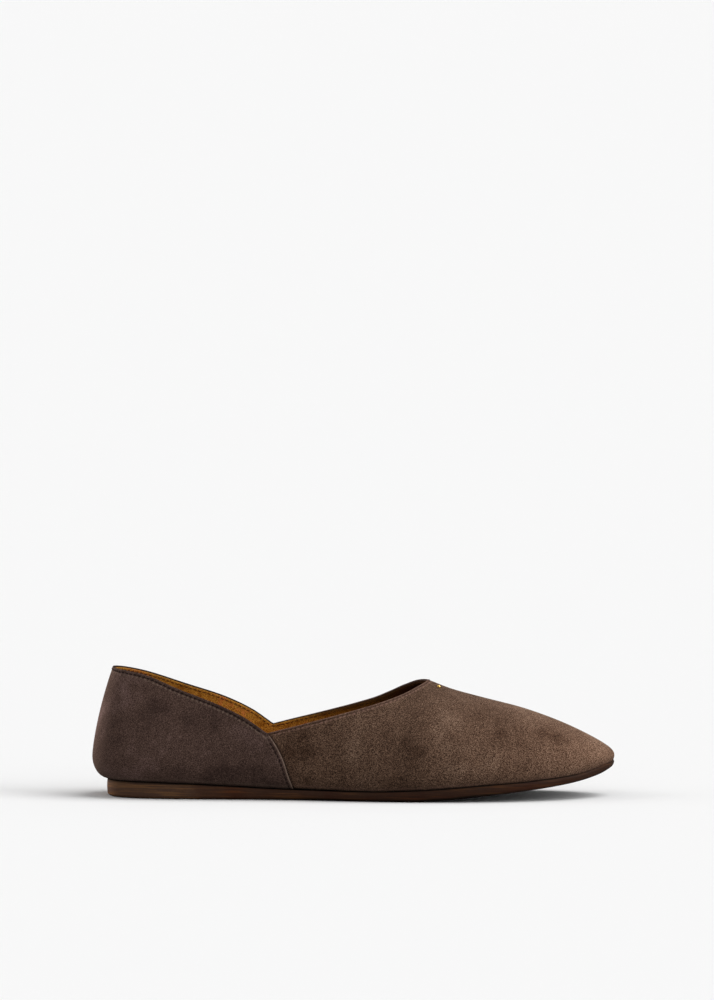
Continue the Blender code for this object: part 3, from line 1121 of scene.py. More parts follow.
def mesh_piece(name: str, points: Array, faces: Sequence[Sequence[int]]) -> Piece:
    """Make a smooth mesh object.

    Args:
        name: Name of the object.
        points: Points in metres.
        faces: Corners of each face.

    Returns:
        Object, linked to the scene.
    """
    mesh = bpy.data.meshes.new(name)
    mesh.from_pydata(points.tolist(), [], faces)
    mesh.validate()
    mesh.shade_smooth()
    piece = bpy.data.objects.new(name, mesh)
    bpy.context.scene.collection.objects.link(piece)
    return piece


def add_mask(piece: Piece, name: str, shares: Array) -> None:
    """Keep a share for each vertex as an attribute that finishes can read."""
    mask = piece.data.attributes.new(name, "FLOAT", "POINT")
    mask.data.foreach_set("value", np.asarray(shares, np.float32))


def seat(piece: Piece, finish: Material, nodes: Sequence[str] = ()) -> Piece:
    """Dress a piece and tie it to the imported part.

    Args:
        piece: Piece in its place.
        finish: Material of the piece.
        nodes: Nodes that the piece stands for.

    Returns:
        The same piece.
    """
    piece.data.materials.clear()
    piece.data.materials.append(finish)
    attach(piece, BODY)
    if nodes:
        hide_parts(*nodes)
    LOG.info("%s: %d faces", piece.name, len(piece.data.polygons))
    return piece


class Dressed:
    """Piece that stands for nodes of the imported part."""

    SLOT: str = ""
    NODES: tuple[str, ...] = ()

    def dress(self, piece: Piece, finish: Material) -> Piece:
        """Give the piece its finish and let it stand for its nodes."""
        return seat(piece, finish, self.NODES)


SUEDE_RIM = 0.9
# Painted shade at the foot of a panel where it turns under to the sole, a painted highlight just above it,
# and painted shade along the edge on the inner sheet.
FOOT_SHADE = Ramp(0.76, 0.12)
FOOT_HIGHLIGHT = 0.30
FOOT_HIGHLIGHT_LEVEL = -0.66
FOOT_HIGHLIGHT_SPREAD = 0.05
INSIDE_SHADE_WIDTH = 1.5


def feather_shade(level: Array) -> Array:
    """Share of painted shade at the foot of a panel, where it turns under to the sole."""
    return FOOT_SHADE(-level)


def feather_highlight(level: Array) -> Array:
    """Share of painted highlight just above that shade, where the panel is drawn over the last's edge."""
    return FOOT_HIGHLIGHT * bell(level, FOOT_HIGHLIGHT_LEVEL, FOOT_HIGHLIGHT_SPREAD)


def inside_shade(painted_shade: Array, distance: Array) -> dict[str, Array]:
    """Painted shade on the inner sheet of a panel, which is dark along its edge."""
    return {PAINTED_SHADE_MASK: np.maximum(painted_shade, bell(distance, 0.0, INSIDE_SHADE_WIDTH))}


@dataclass(eq=False)
class Vamp(Dressed):
    """Front panel of the upper, from under the quarters over the toe."""

    SLOT = "vamp_suede"
    NODES = ("upper",)

    last: Last
    throat_steps: int = 12
    throat_pitch: float = 0.35
    toe_columns: int = 96
    side_columns: int = 170
    side_crowding: float = 1.8
    half_round: float = 300.0
    rows: int = 46
    low: float = -1.7
    # Collar edge: pale from rubbing with a painted highlight, flecks of painted highlight, and a little
    # painted shade on the rim.
    edge: TurnedEdge = TurnedEdge(
        bead=0.06, bead_at=0.4, groove=0.16, groove_at=0.95, worn=0.7, flecks=1.0, fleck_width=0.38, soil=0.08
    )
    pleats: int = 46
    pleat_height: float = 0.06
    pleat_turns: Ramp = Ramp(0.80, 0.12)
    pleat_level: float = -0.75
    pleat_spread: float = 0.35
    relief_ahead: Ramp = Ramp(-0.5, 1.5)
    foot_drop: float = 0.75
    foot_ahead: Ramp = Ramp(-0.8, 1.6)
    foot_below: float = 0.2
    foot_above: float = 0.8
    foot_spread: float = 0.3
    # Painted shade in the crevice in front of the quarter's edge, less where the foot drops, and at the foot,
    # less toward the toe tip.
    crevice_width: float = 0.9
    crevice_fill: float = 0.7
    tip_turns: Ramp = Ramp(0.88, 0.08)
    tip_clean: float = 0.75

    def columns(self) -> Array:
        """Space the columns, closer at the throat.

        Returns:
            Columns from the toe tip at 0 to the throat at 1 and the hidden back edge at 2, on both sides.
        """
        front = (1.0 - self.last.throat_turn) * self.half_round
        near_throat = 1.0 - np.arange(self.throat_steps + 1) * self.throat_pitch / front
        to_tip = np.linspace(near_throat[-1], 0.0, self.toe_columns + 1)[1:]
        back = 1.0 + (np.arange(1, self.side_columns + 1) / self.side_columns) ** self.side_crowding
        reach = np.concatenate((back[::-1], near_throat, to_tip))
        return np.concatenate((-reach, reach[::-1][1:]))

    def turn_of(self, columns: Array, level: Array) -> Array:
        """Turns of the columns at some levels.

        Args:
            columns: Columns of the panel.
            level: Levels, one row or one for each column.

        Returns:
            Turns by column and row.
        """
        reach = np.abs(columns)[:, None]
        lateral = columns[:, None] < 0.0
        throat = self.last.throat_turn
        back = turn_inside(self.backs, lateral, level)
        ahead = throat + (1.0 - throat) * (1.0 - reach)
        behind = throat + (back - throat) * (reach - 1.0)
        return np.where(lateral, -1.0, 1.0) * np.where(reach <= 1.0, ahead, behind)

    def build(self) -> Piece:
        """Lay the panel on the last and thicken it.

        Returns:
            Object of the panel.
        """
        last = self.last
        self.backs = last.seam_lines(last.tab)
        columns = self.columns()
        reach = np.abs(columns)
        turn, level, skin, normal = lay(
            last, lambda levels: self.turn_of(columns, levels), self.low, FINE_ROWS, self.rows
        )
        self.collar = EdgeLine(skin[reach >= 1.0, -1])
        distance, run = self.collar.nearest(skin)
        ahead = last.ahead(skin)
        relief = self.edge.relief(distance, run) + crease_relief(last, VAMP_CREASES, skin, turn)
        toe = self.pleat_turns(np.abs(turn)) * bell(level, self.pleat_level, self.pleat_spread)
        relief += self.pleat_height * toe * np.cos(2.0 * math.pi * turn * self.pleats)
        relief *= self.relief_ahead(ahead)
        drawn = self.foot_below * np.minimum(level, FEATHER_LEVEL)
        drawn = drawn + self.foot_above * np.maximum(level, FEATHER_LEVEL)
        down = bell(drawn, FEATHER_LEVEL, self.foot_spread)
        depth = last.lap_depth(skin[..., 0]) * (1.0 - self.foot_drop * down * self.foot_ahead(ahead))
        outer = skin + normal * (relief - depth)[..., None]
        inner = skin - normal * (depth + last.pared_wall(ahead))[..., None]
        # Painted shade in front of the quarter's edge, at the foot and on the rim.
        crevice = bell(np.maximum(ahead, 0.0), 0.0, self.crevice_width) * (1.0 - self.crevice_fill * down)
        foot = feather_shade(level) * (1.0 - self.tip_clean * self.tip_turns(np.abs(turn)))
        painted_shade = np.maximum.reduce((crevice, foot, self.edge.soiling(distance)))
        # Pale share from rubbing and painted highlights along the collar, in flecks and just above the foot.
        masks = {
            WEAR_AND_HIGHLIGHT_MASK: np.maximum(self.edge.wear(distance, run), feather_highlight(level)),
            PAINTED_SHADE_MASK: painted_shade,
            TONE_MASK: brushed_tone(last, VAMP_BRUSHING, skin),
        }
        ids = np.arange(turn.size).reshape(turn.shape)
        for i in np.where((reach <= 1.0) & (columns > 0.0))[0]:
            ids[i, -1] = ids[len(columns) - 1 - i, -1]
        self.shell = Shell(outer, inner, compact(ids), False, SUEDE_RIM)
        return self.shell.make("vamp", last, masks, inside_shade(painted_shade, distance))


@dataclass(eq=False)
class Quarter(Dressed):
    """Back panel of the upper, lapped over the vamp from one side round the heel to the other."""

    SLOT = "quarter_suede"
    NODES = ("quarter",)

    last: Last
    columns_between: int = 190
    rows: int = 40
    low: float = -1.8
    # Collar edge: flecks of painted highlight and painted shade on the rim; front edges: a painted highlight
    # along them, with flecks.
    edge: TurnedEdge = TurnedEdge(worn=0.0, flecks=0.8, fleck_width=0.4, soil=0.35)
    front_edge: TurnedEdge = TurnedEdge(bead=0.14, groove=0.22, groove_at=1.8, worn=1.0, flecks=0.3)
    front_run: float = 100.0
    front_below: Ramp = Ramp(1.0, 1.5)

    def columns(self) -> Array:
        """Space the columns, closer at the front edges.

        Returns:
            Columns between the front edges at 1 and -1, with the heel at 0.
        """
        fine = 1.0 - np.array(FINE_ROWS) / self.front_run
        reach = np.concatenate((fine, np.linspace(fine[-1], 0.0, self.columns_between + 1)[1:]))
        return np.concatenate((reach, -reach[::-1][1:]))

    def turn_of(self, columns: Array, level: Array) -> Array:
        """Turns of the columns at some levels."""
        return columns[:, None] * turn_inside(self.fronts, columns[:, None] < 0.0, level)

    def build(self) -> Piece:
        """Lay the panel on the last and thicken it.

        Returns:
            Object of the panel.
        """
        last = self.last
        self.fronts = last.seam_lines()
        columns = self.columns()
        turn, level, skin, normal = lay(
            last, lambda levels: self.turn_of(columns, levels), self.low, FINE_ROWS, self.rows
        )
        self.collar = EdgeLine(skin[:, -1])
        distance, run = self.collar.nearest(skin)
        relief = self.edge.relief(distance, run)
        # Pale share: painted highlights in flecks under the collar and along the front edges.
        wear = self.edge.wear(distance, run)
        below = self.front_below(distance)
        self.front_lines = [EdgeLine(skin[-1]), EdgeLine(skin[0])]
        for front in self.front_lines:
            from_front, run = front.nearest(skin)
            relief += self.front_edge.relief(from_front, run) * below
            wear = np.maximum(wear, self.front_edge.wear(from_front, run) * below)
        relief += crease_relief(last, QUARTER_CREASES, skin, turn)
        outer = skin + normal * relief[..., None]
        inner = skin - normal * last.quarter_wall
        # Painted shade on the collar rim and at the foot.
        painted_shade = np.maximum(self.edge.soiling(distance), feather_shade(level))
        masks = {
            WEAR_AND_HIGHLIGHT_MASK: np.maximum(wear, feather_highlight(level)),
            PAINTED_SHADE_MASK: painted_shade,
            TONE_MASK: brushed_tone(last, QUARTER_BRUSHING, skin),
        }
        ids = np.arange(turn.size).reshape(turn.shape)
        self.shell = Shell(outer, inner, ids, False, SUEDE_RIM)
        return self.shell.make("quarter", last, masks, inside_shade(painted_shade, distance))


@dataclass(eq=False)
class Lining(Dressed):
    """Soft leather inside of the whole upper, a little lower than the suede at the collar."""

    SLOT = "sock_leather"
    NODES = ("upper",)
    SLACK = 1e-9

    last: Last
    suede_wall: float = 1.05
    collar_wall: float = 0.75
    step: float = 2.4
    least_wall: float = 0.5
    thinning: Ramp = Ramp(0.45, 0.45)
    # Painted shade: a dark band along the top toward the front, for the suede turned in over it in shade, and
    # in the throat; a pale rim from the cut edge's core with a painted highlight.
    fold: float = 0.8
    fold_along: Ramp = Ramp(0.36, 0.10)
    rubbed_width: float = 0.3
    throat_shade: float = 0.8
    throat_along: Ramp = Ramp(0.44, 0.16)
    notch_turn: float = 0.36
    throat_turns: int = 60
    throat_crowding: float = 1.8
    vamp_turns: int = 70
    back_turns: int = 70
    low: float = -1.9
    fine: tuple[float, ...] = (0.4, 0.8, 1.2, 1.6, 2.4, 3.4, 5.0)
    rows: int = 34
    rim_round: float = 0.5

    def turns(self) -> Array:
        """Space the columns, closer at the throat.

        Returns:
            Turns from the heel by the lateral side to the toe and back by the medial side.
        """
        throat = self.last.throat_turn
        back = self.notch_turn * np.arange(self.back_turns) / self.back_turns
        left = (1.0 - np.arange(self.throat_turns) / self.throat_turns) ** self.throat_crowding
        side = throat - (throat - self.notch_turn) * left
        front = np.linspace(throat, 1.0, self.vamp_turns + 1)
        reach = np.concatenate((back, side, front))
        return np.concatenate((-reach, reach[::-1][1:-1]))

    def build(self) -> Piece:
        """Lay the lining inside the suede and thicken it.

        Returns:
            Object of the lining.
        """
        last = self.last
        turns = self.turns()
        turn, level, skin, normal = lay(
            last, lambda levels: turns[:, None] + 0.0 * levels, self.low, self.fine, self.rows
        )
        lap = last.lap_depth(skin[..., 0])
        ahead = last.ahead(skin)
        under = Ramp(-last.tab - self.step, self.step)(ahead)
        outside = self.suede_wall + (lap + last.pared_wall(ahead) - last.vamp_wall) * under
        depth = np.maximum(lap + last.upper_wall, outside + self.least_wall)
        depth += (outside + self.collar_wall - depth) * self.thinning(level)
        outer = skin - normal * outside[..., None]
        inner = skin - normal * depth[..., None]
        ids = np.arange(turn.size).reshape(turn.shape)
        count = len(turns)
        ridge = np.where((np.abs(turns) >= last.throat_turn - self.SLACK) & (turns > 0.0))[0]
        for i in ridge:
            ids[i, -1] = ids[count - i, -1]
        self.shell = Shell(outer, inner, compact(ids), True, self.rim_round)
        heel = int(np.argmin(np.abs(turns)))
        order = np.roll(np.arange(count), count // 2 - heel)
        open_edge = [i for i in order if abs(turns[i]) <= last.throat_turn + self.SLACK]
        self.collar = EdgeLine(inner[open_edge, -1])
        distance, _ = self.collar.nearest(inner)
        share = inner[..., 0] / last.length
        # Painted shade along the top toward the front and in the throat, and a pale rim with a painted
        # highlight.
        band = bell(distance, 0.0, self.fold) * self.fold_along(share)
        throat = self.throat_shade * self.throat_along(share)
        rubbed = bell(distance, 0.0, self.rubbed_width)
        masks = {WEAR_AND_HIGHLIGHT_MASK: rubbed, PAINTED_SHADE_MASK: np.maximum(band, throat)}
        return self.shell.make("lining", last, masks)


def slab(
    name: str, last: Last, turns: Array, rows: Sequence[tuple[Array, Array]], masks: dict[str, Array]
) -> Piece:
    """Close half sections set round the spine of the last into one body.

    Args:
        name: Name of the object.
        last: Last that the sections stand on.
        turns: Turns of the sections, once round from toe tip to toe tip.
        rows: Distances from the spine and heights of each row, from the top to the bottom.
        masks: Named shares, such as painted shade, by section and row.

    Returns:
        Object of the body.
    """
    out = np.stack([row[0] for row in rows], axis=1)
    height = np.stack([row[1] for row in rows], axis=1)
    points = last.along_ribs(last.ribs(turns[:, None]), out, height)
    ids = np.arange(out.size).reshape(out.shape)
    count = len(turns)
    for i in range(count // 2 + 1, count):
        ids[i, 0] = ids[count - i, 0]
        ids[i, -1] = ids[count - i, -1]
    ids = compact(ids)
    placed = by_number(points, ids)
    piece = mesh_piece(name, last.world(placed), [face[::-1] for face in grid_faces(ids, True)])
    for mask, values in masks.items():
        shares = np.zeros(len(placed))
        shares[ids.ravel()] = np.broadcast_to(values, ids.shape).ravel()
        add_mask(piece, mask, shares)
    return piece


def ring_turns(count: int, crowding: float = 1.1) -> Array:
    """Turns once round the shoe from the toe tip by the lateral side and heel, closer at the tip."""
    reach = 1.0 - (1.0 - np.arange(count + 1) / count) ** crowding
    return np.concatenate((-reach[::-1], reach[1:-1]))


@dataclass(eq=False)
class Outsole(Dressed):
    """Leather sole with its low heel in one piece."""

    SLOT = "sole_leather"
    NODES = ("outsole",)

    last: Last
    ribs_per_side: int = 190
    top_round: float = 0.5
    edge_round: float = 1.8
    side_belly: float = 0.18
    lip: float = 0.8
    most_top_round: float = 0.15
    most_edge_round: float = 0.45
    least_ledge: float = 0.6
    toe_reach: float = 0.6
    toe_along: Ramp = Ramp(0.94, 0.06)
    # Painted shade in the crevice along the top, less toward the toe, and along the bottom edge, deepest
    # across the tread as a contact shadow.
    top_grime: float = 0.09
    top_ease: float = 0.6
    clean_along: Ramp = Ramp(0.90, 0.06)
    clean_share: float = 0.6
    heel_grime: float = 0.7
    tread_grime: float = 1.6
    tread_from: Ramp = Ramp(0.38, 0.10)
    tread_to: Ramp = Ramp(0.72, 0.10)
    grime_ease: float = 0.7
    heel_tone: Ramp = Ramp(-0.30, 0.25)
    ball_tone: Ramp = Ramp(0.40, 0.15)
    ball_shade: float = 0.6
    inner_rows: tuple[float, ...] = (0.0, 0.4, 0.7, 0.88)
    top_steps: int = 5
    side_steps: int = 8
    bottom_steps: int = 7

    def build(self) -> Piece:
        """Set the sections of the sole round the spine.

        Returns:
            Object of the sole.
        """
        last = self.last
        turns = ring_turns(self.ribs_per_side)
        ribs = last.ribs(turns)
        ledge = last.sole_ledge(ribs.foot[..., 0])
        ledge += self.toe_reach * self.toe_along(ribs.foot[..., 0] / last.length)
        edge = ribs.length - ribs.tuck + ledge
        edge_x = last.place_out(ribs, edge)
        feather = last.feather_height(edge_x)
        sweep = np.arcsin(np.clip(ledge / ribs.tuck, 0.0, 1.0))
        lip = self.lip * (ribs.belly - feather) * (1.0 - np.cos(sweep))
        top = feather - last.gap + lip
        thick = top - last.tread_lift(edge_x)
        bottom_round = np.minimum(self.edge_round, self.most_edge_round * thick)
        top_round = np.minimum(self.top_round, self.most_top_round * thick)
        rows = []
        for share in self.inner_rows:
            rows.append((share * edge, last.feather_height(last.place_out(ribs, share * edge)) - last.gap))
        rows.append((edge - np.maximum(ledge, self.least_ledge), feather - last.gap))
        for angle in np.linspace(0.0, QUARTER_TURN, self.top_steps):
            out = edge - top_round * (1.0 - math.sin(angle))
            rows.append((out, top - top_round * (1.0 - math.cos(angle))))
        low = last.tread_lift(edge_x) + bottom_round
        for share in np.linspace(0.0, 1.0, self.side_steps)[1:-1]:
            belly = self.side_belly * math.sin(math.pi * share)
            rows.append((edge + belly, (top - top_round) * (1.0 - share) + low * share))
        for angle in np.linspace(0.0, QUARTER_TURN, self.bottom_steps):
            out = edge - bottom_round * (1.0 - math.cos(angle))
            lift = last.tread_lift(last.place_out(ribs, out))
            rows.append((out, lift + bottom_round * (1.0 - math.sin(angle))))
        for share in self.inner_rows[::-1]:
            rows.append((share * edge, last.tread_lift(last.place_out(ribs, share * edge))))
        # Painted shade: the crevice along the top and the bottom edge, with a contact shadow across the
        # tread.
        share = edge_x / last.length
        tread = self.tread_from(share) * (1.0 - self.tread_to(share))
        start = self.heel_grime + (self.tread_grime - self.heel_grime) * tread
        height = np.stack([row[1] for row in rows], axis=1)
        over_floor = height - last.tread_lift(edge_x)[:, None]
        low_shade = smooth_step((start[:, None] - over_floor) / self.grime_ease)
        crevice = (self.top_grime * thick * (1.0 - self.clean_share * self.clean_along(share)))[:, None]
        top_grime = smooth_step((over_floor - thick[:, None] + crevice) / (self.top_ease * crevice))
        tone = self.heel_tone(-share) - self.ball_shade * self.ball_tone(share)
        masks = {PAINTED_SHADE_MASK: np.maximum(low_shade, top_grime), TONE_MASK: tone[:, None]}
        return slab("outsole_leather", last, turns, rows, masks)


@dataclass(eq=False)
class Insole(Dressed):
    """Leather sock that covers the insole up to the lining."""

    SLOT = "sock_leather"
    NODES = ("insole",)

    last: Last
    ribs_per_side: int = 150
    thickness: float = 2.4
    inset: float = 0.9
    clearance: float = 0.25
    dish: float = 0.7
    dish_from: float = 0.55
    least_overhang: float = 0.1
    shoulder_in: float = 0.15
    shoulder_drop: float = 0.05
    edge_drop: float = 0.3
    side_hollow: float = 0.2
    wall_samples: int = 60
    top_rows: tuple[float, ...] = (0.0, 0.25, 0.5, 0.7, 0.82, 0.91, 0.96)

    def build(self) -> Piece:
        """Set the sections of the insole round the spine.

        Returns:
            Object of the insole.
        """
        last = self.last
        turns = ring_turns(self.ribs_per_side)
        ribs = last.ribs(turns)
        foot = ribs.length - ribs.tuck - self.inset

        def seat_height(out: Array) -> Array:
            """Height of the insole's seat at a distance out from the spine."""
            place = last.place_out(ribs, out)
            return last.feather_height(place) + last.lap_depth(place) + last.upper_wall + last.gap

        level = np.linspace(FEATHER_LEVEL, 0.0, self.wall_samples)[None, :]
        skin = last.skin(turns[:, None], level)
        wall = last.lap_depth(skin[..., 0]) + last.upper_wall + self.clearance
        inside = skin - last.normal(turns[:, None], level) * wall[..., None]
        reach = np.einsum("ijk,ik->ij", inside[..., :2] - ribs.spine[:, None, :], ribs.outward)
        edge_height = seat_height(foot) + self.thickness + self.dish
        edge = np.array([np.interp(h, z, r) for h, z, r in zip(edge_height, inside[..., 2], reach)])
        edge = np.maximum(edge, foot + self.least_overhang)
        rows = []
        for share in self.top_rows:
            out = share * edge
            dish = self.dish * max((share - self.dish_from) / (1.0 - self.dish_from), 0.0) ** 2
            rows.append((out, seat_height(np.minimum(out, foot)) + self.thickness + dish))
        rows.append((edge - self.shoulder_in, edge_height - self.shoulder_drop))
        rows.append((edge, edge_height - self.edge_drop))
        rows.append(((edge + foot) / 2.0, (edge_height + seat_height(foot)) / 2.0 - self.side_hollow))
        rows.append((foot, seat_height(foot)))
        for share in self.top_rows[-2::-1]:
            rows.append((share * foot, seat_height(share * foot)))
        return slab("insole_sock", last, turns, rows, {})


@dataclass(eq=False)
class StitchRow:
    """Row of stitches in one joined mesh, sunk a little into what they hold."""

    name: str
    last: Last
    inset: float
    skip: float = 0.0
    pitch: float = 2.4
    length: float = 1.8
    radius: float = 0.27
    lift: float = 0.04
    sink: float = 0.15
    blunt: float = 0.02
    sections: int = 8
    sides: int = 8
    smoothing: int = 5
    settling: int = 2
    half_look: float = 0.3

    def build(self, edge: EdgeLine, surface: BVHTree) -> Piece:
        """Sew along an edge, at the row's inset from it and with its skip left bare at each end.

        Args:
            edge: Edge that the row follows.
            surface: Surface that it lies on.

        Returns:
            Joined mesh of the stitches.
        """
        path, normals = self.path(edge.points, surface)
        runs = np.arange(len(path)) * edge.STEP
        bare = math.ceil(self.skip / self.pitch) * self.pitch
        places = np.arange(bare + self.pitch / 2.0, runs[-1] - bare, self.pitch)
        looks = (-self.half_look, 0.0, self.half_look)
        behind, middle, ahead = (points_at(places + look, runs, path) for look in looks)
        up = unit(points_at(places, runs, normals))
        along = unit(ahead - behind)
        across = unit(np.cross(up, along))
        template, faces = self.thread()
        axes = np.stack((along, across, up), axis=1)
        points = middle[:, None, :] + np.einsum("vk,skx->svx", template, axes)
        count = len(template)
        joined = [[i + count * k for i in face] for k in range(len(middle)) for face in faces]
        return mesh_piece(self.name, self.last.world(points.reshape(-1, 3)), joined)

    def path(self, edge: Array, surface: BVHTree) -> tuple[Array, Array]:
        """Find the line on a surface that runs beside an edge.

        Args:
            edge: Points of the edge.
            surface: Surface beside it.

        Returns:
            Points of the line, and the surface's normals there.
        """
        along = unit(np.gradient(edge, axis=0))
        normals = np.array([surface.find_nearest(point)[1] for point in edge])
        step = self.inset * unit(np.cross(along, normals))
        middle = len(edge) // 2
        misses = [surface.find_nearest(edge[middle] + sign * step[middle])[3] for sign in (1.0, -1.0)]
        sign = 1.0 if misses[0] < misses[1] else -1.0
        found = [surface.find_nearest(point) for point in eased(edge + sign * step, self.smoothing)]
        normals = eased(np.array([hit[1] for hit in found]), self.smoothing)
        return eased(np.array([hit[0] for hit in found]), self.settling), unit(normals)

    def thread(self) -> tuple[Array, list[list[int]]]:
        """Shape one stitch along the first axis, raised along the third.

        Returns:
            Its points, and the corners of its faces.
        """
        share = np.linspace(-1.0, 1.0, self.sections + 1)
        angle = np.arange(self.sides) * 2.0 * math.pi / self.sides
        thick = self.radius * np.sqrt(np.clip(1.0 + self.blunt - share**4, self.blunt, 1.0))
        centre = self.lift - (self.radius + self.sink) * share**4
        x = np.repeat(share * self.length / 2.0, self.sides)
        y = (thick[:, None] * np.cos(angle)).ravel()
        z = (centre[:, None] + thick[:, None] * np.sin(angle)).ravel()
        ids = np.arange(x.size).reshape(-1, self.sides)
        faces = grid_faces(ids.T, True) + [ids[0].tolist(), ids[-1, ::-1].tolist()]
        return np.stack((x, y, z), axis=1), [face[::-1] for face in faces]

    def dress(self, piece: Piece, finish: Material, slot: str) -> Piece:
        """Give the row its thread."""
        return seat(piece, finish)


@dataclass(eq=False)
class Stud(Dressed):
    """Tiny brass stud on the centre of the vamp."""

    SLOT = "brass"
    NODES = ("throat_stud",)

    last: Last
    along_share: float = 0.6625
    across: float = -1.5
    radius: float = 1.1
    rise: float = 0.8
    foot_share: float = 0.96
    foot_depth: float = 0.45
    most_drop: float = 0.9
    rings: int = 9
    sides: int = 28

    def build(self) -> Piece:
        """Turn the dome and seat it on the vamp.

        Returns:
            Object of the stud.
        """
        last = self.last
        turn = -float(last.turn_at_spine(self.along_share * last.length))

        def past_place(drop: Array) -> Array:
            """Distance by which a drop from the ridge passes the stud."""
            return self.across - last.skin(turn, 1.0 - drop)[..., 1]

        level = 1.0 - float(solve(past_place, 0.0, self.most_drop))
        normal = last.normal(turn, level)
        foot = last.skin(turn, level) + normal * last.gap
        across = unit(np.cross(normal, (1.0, 0.0, 0.0)))
        along = np.cross(across, normal)
        points = [foot + normal * self.rise]
        angles = np.arange(self.sides) * 2.0 * math.pi / self.sides
        profile = [(math.sin(a), math.cos(a)) for a in np.linspace(0.0, QUARTER_TURN, self.rings)[1:]]
        profile.append((self.foot_share, -self.foot_depth))
        for out, up in profile:
            for angle in angles:
                spoke = along * math.cos(angle) + across * math.sin(angle)
                points.append(foot + spoke * self.radius * out + normal * self.rise * up)
        ids = 1 + np.arange(len(profile) * self.sides).reshape(-1, self.sides)
        cap = np.stack((np.zeros_like(ids[0]), ids[0], np.roll(ids[0], -1)), axis=1).tolist()
        faces = cap + grid_faces(ids.T, True) + [ids[-1, ::-1].tolist()]
        return mesh_piece("stud_dome", last.world(np.array(points)), faces)


def linear(colour: Colour) -> tuple[float, float, float, float]:
    """Colour for a shader from its display values out of 255."""
    shares = [c / 255.0 for c in colour]
    return (*[c / 12.92 if c <= 0.04045 else ((c + 0.055) / 1.055) ** 2.4 for c in shares], 1.0)


def tint(shade: Colour, colour: Colour) -> tuple[float, float, float, float]:
    """Tint that turns a colour into a shade of it."""
    return tuple(s / c for s, c in zip(linear(shade), linear(colour)))


class Sketch:
    """Node tree with short calls to add nodes and join them."""

    def __init__(self, tree: NodeTree) -> None:
        """Keep the tree."""
        self.tree = tree

    def add(self, kind: str, inputs: dict | None = None, **settings: object) -> Node:
        """Add a node.

        Args:
            kind: Type of the node, without its usual prefix.
            inputs: Values, or sockets to join, by name or number of the node's input.
            settings: Properties of the node.

        Returns:
            The new node.
        """
        node = self.tree.nodes.new("ShaderNode" + kind)
        for name, value in settings.items():
            setattr(node, name, value)
        self.feed(node, inputs or {})
        return node

    def feed(self, node: Node, inputs: dict) -> None:
        """Feed a node.

        Args:
            node: Node of this tree.
            inputs: Values, or sockets to join, by name or number of the node's input.
        """
        for key, value in inputs.items():
            if isinstance(value, Socket):
                self.tree.links.new(value, node.inputs[key])
            else:
                node.inputs[key].default_value = value

    def group(self, tree: NodeTree, inputs: dict) -> Node:
        """Place a shared group with its own values."""
        return self.add("Group", inputs, node_tree=tree)

    def math(self, operation: str, *values: object) -> Socket:
        """Result of a sum on values or sockets."""
        return self.add("Math", dict(enumerate(values)), operation=operation).outputs[0]

    def mix(self, factor: object, first: object, second: object, blend: str = "MIX") -> Socket:
        """Mix of two colours."""
        inputs = {0: factor, 6: first, 7: second}
        return self.add("Mix", inputs, data_type="RGBA", blend_type=blend).outputs[2]

    def spread(self, value: object, low: float, high: float, to_low: float, to_high: float) -> Socket:
        """Value moved softly from one range to another."""
        inputs = {0: value, 1: low, 2: high, 3: to_low, 4: to_high}
        return self.add("MapRange", inputs, interpolation_type="SMOOTHSTEP").outputs[0]

    def noise(self, vector: object, scale: object, detail: float, roughness: float = 0.5) -> Socket:
        """Cloudy value between 0 and 1."""
        inputs = {"Vector": vector, "Scale": scale, "Detail": detail, "Roughness": roughness}
        return self.add("TexNoise", inputs).outputs[0]

    def sum_of(self, first: Socket, share: float, second: Socket, rest: float) -> Socket:
        """Sum of two values, each with its share."""
        return self.math("ADD", self.math("MULTIPLY", first, share), self.math("MULTIPLY", second, rest))

    def mask(self, name: str) -> Socket:
        """Share that a piece keeps as an attribute."""
        return self.add("Attribute", attribute_name=name).outputs["Fac"]

    def bump(self, height: Socket, depth: float, strength: float) -> Socket:
        """Normal of a relief, its depth in millimetres."""
        inputs = {"Height": height, "Distance": depth * MM, "Strength": strength}
        return self.add("Bump", inputs).outputs["Normal"]

    def millimetres(self, stretch: tuple[float, float, float] = (1.0, 1.0, 1.0)) -> Socket:
        """Measure the place on the shoe.

        Args:
            stretch: How far a pattern is drawn out along each axis.

        Returns:
            Place in millimetres.
        """
        place = self.add("TexCoord").outputs["Object"]
        scale = tuple(1.0 / (MM * s) for s in stretch)
        return self.add("VectorMath", {0: place, 1: scale}, operation="MULTIPLY").outputs[0]


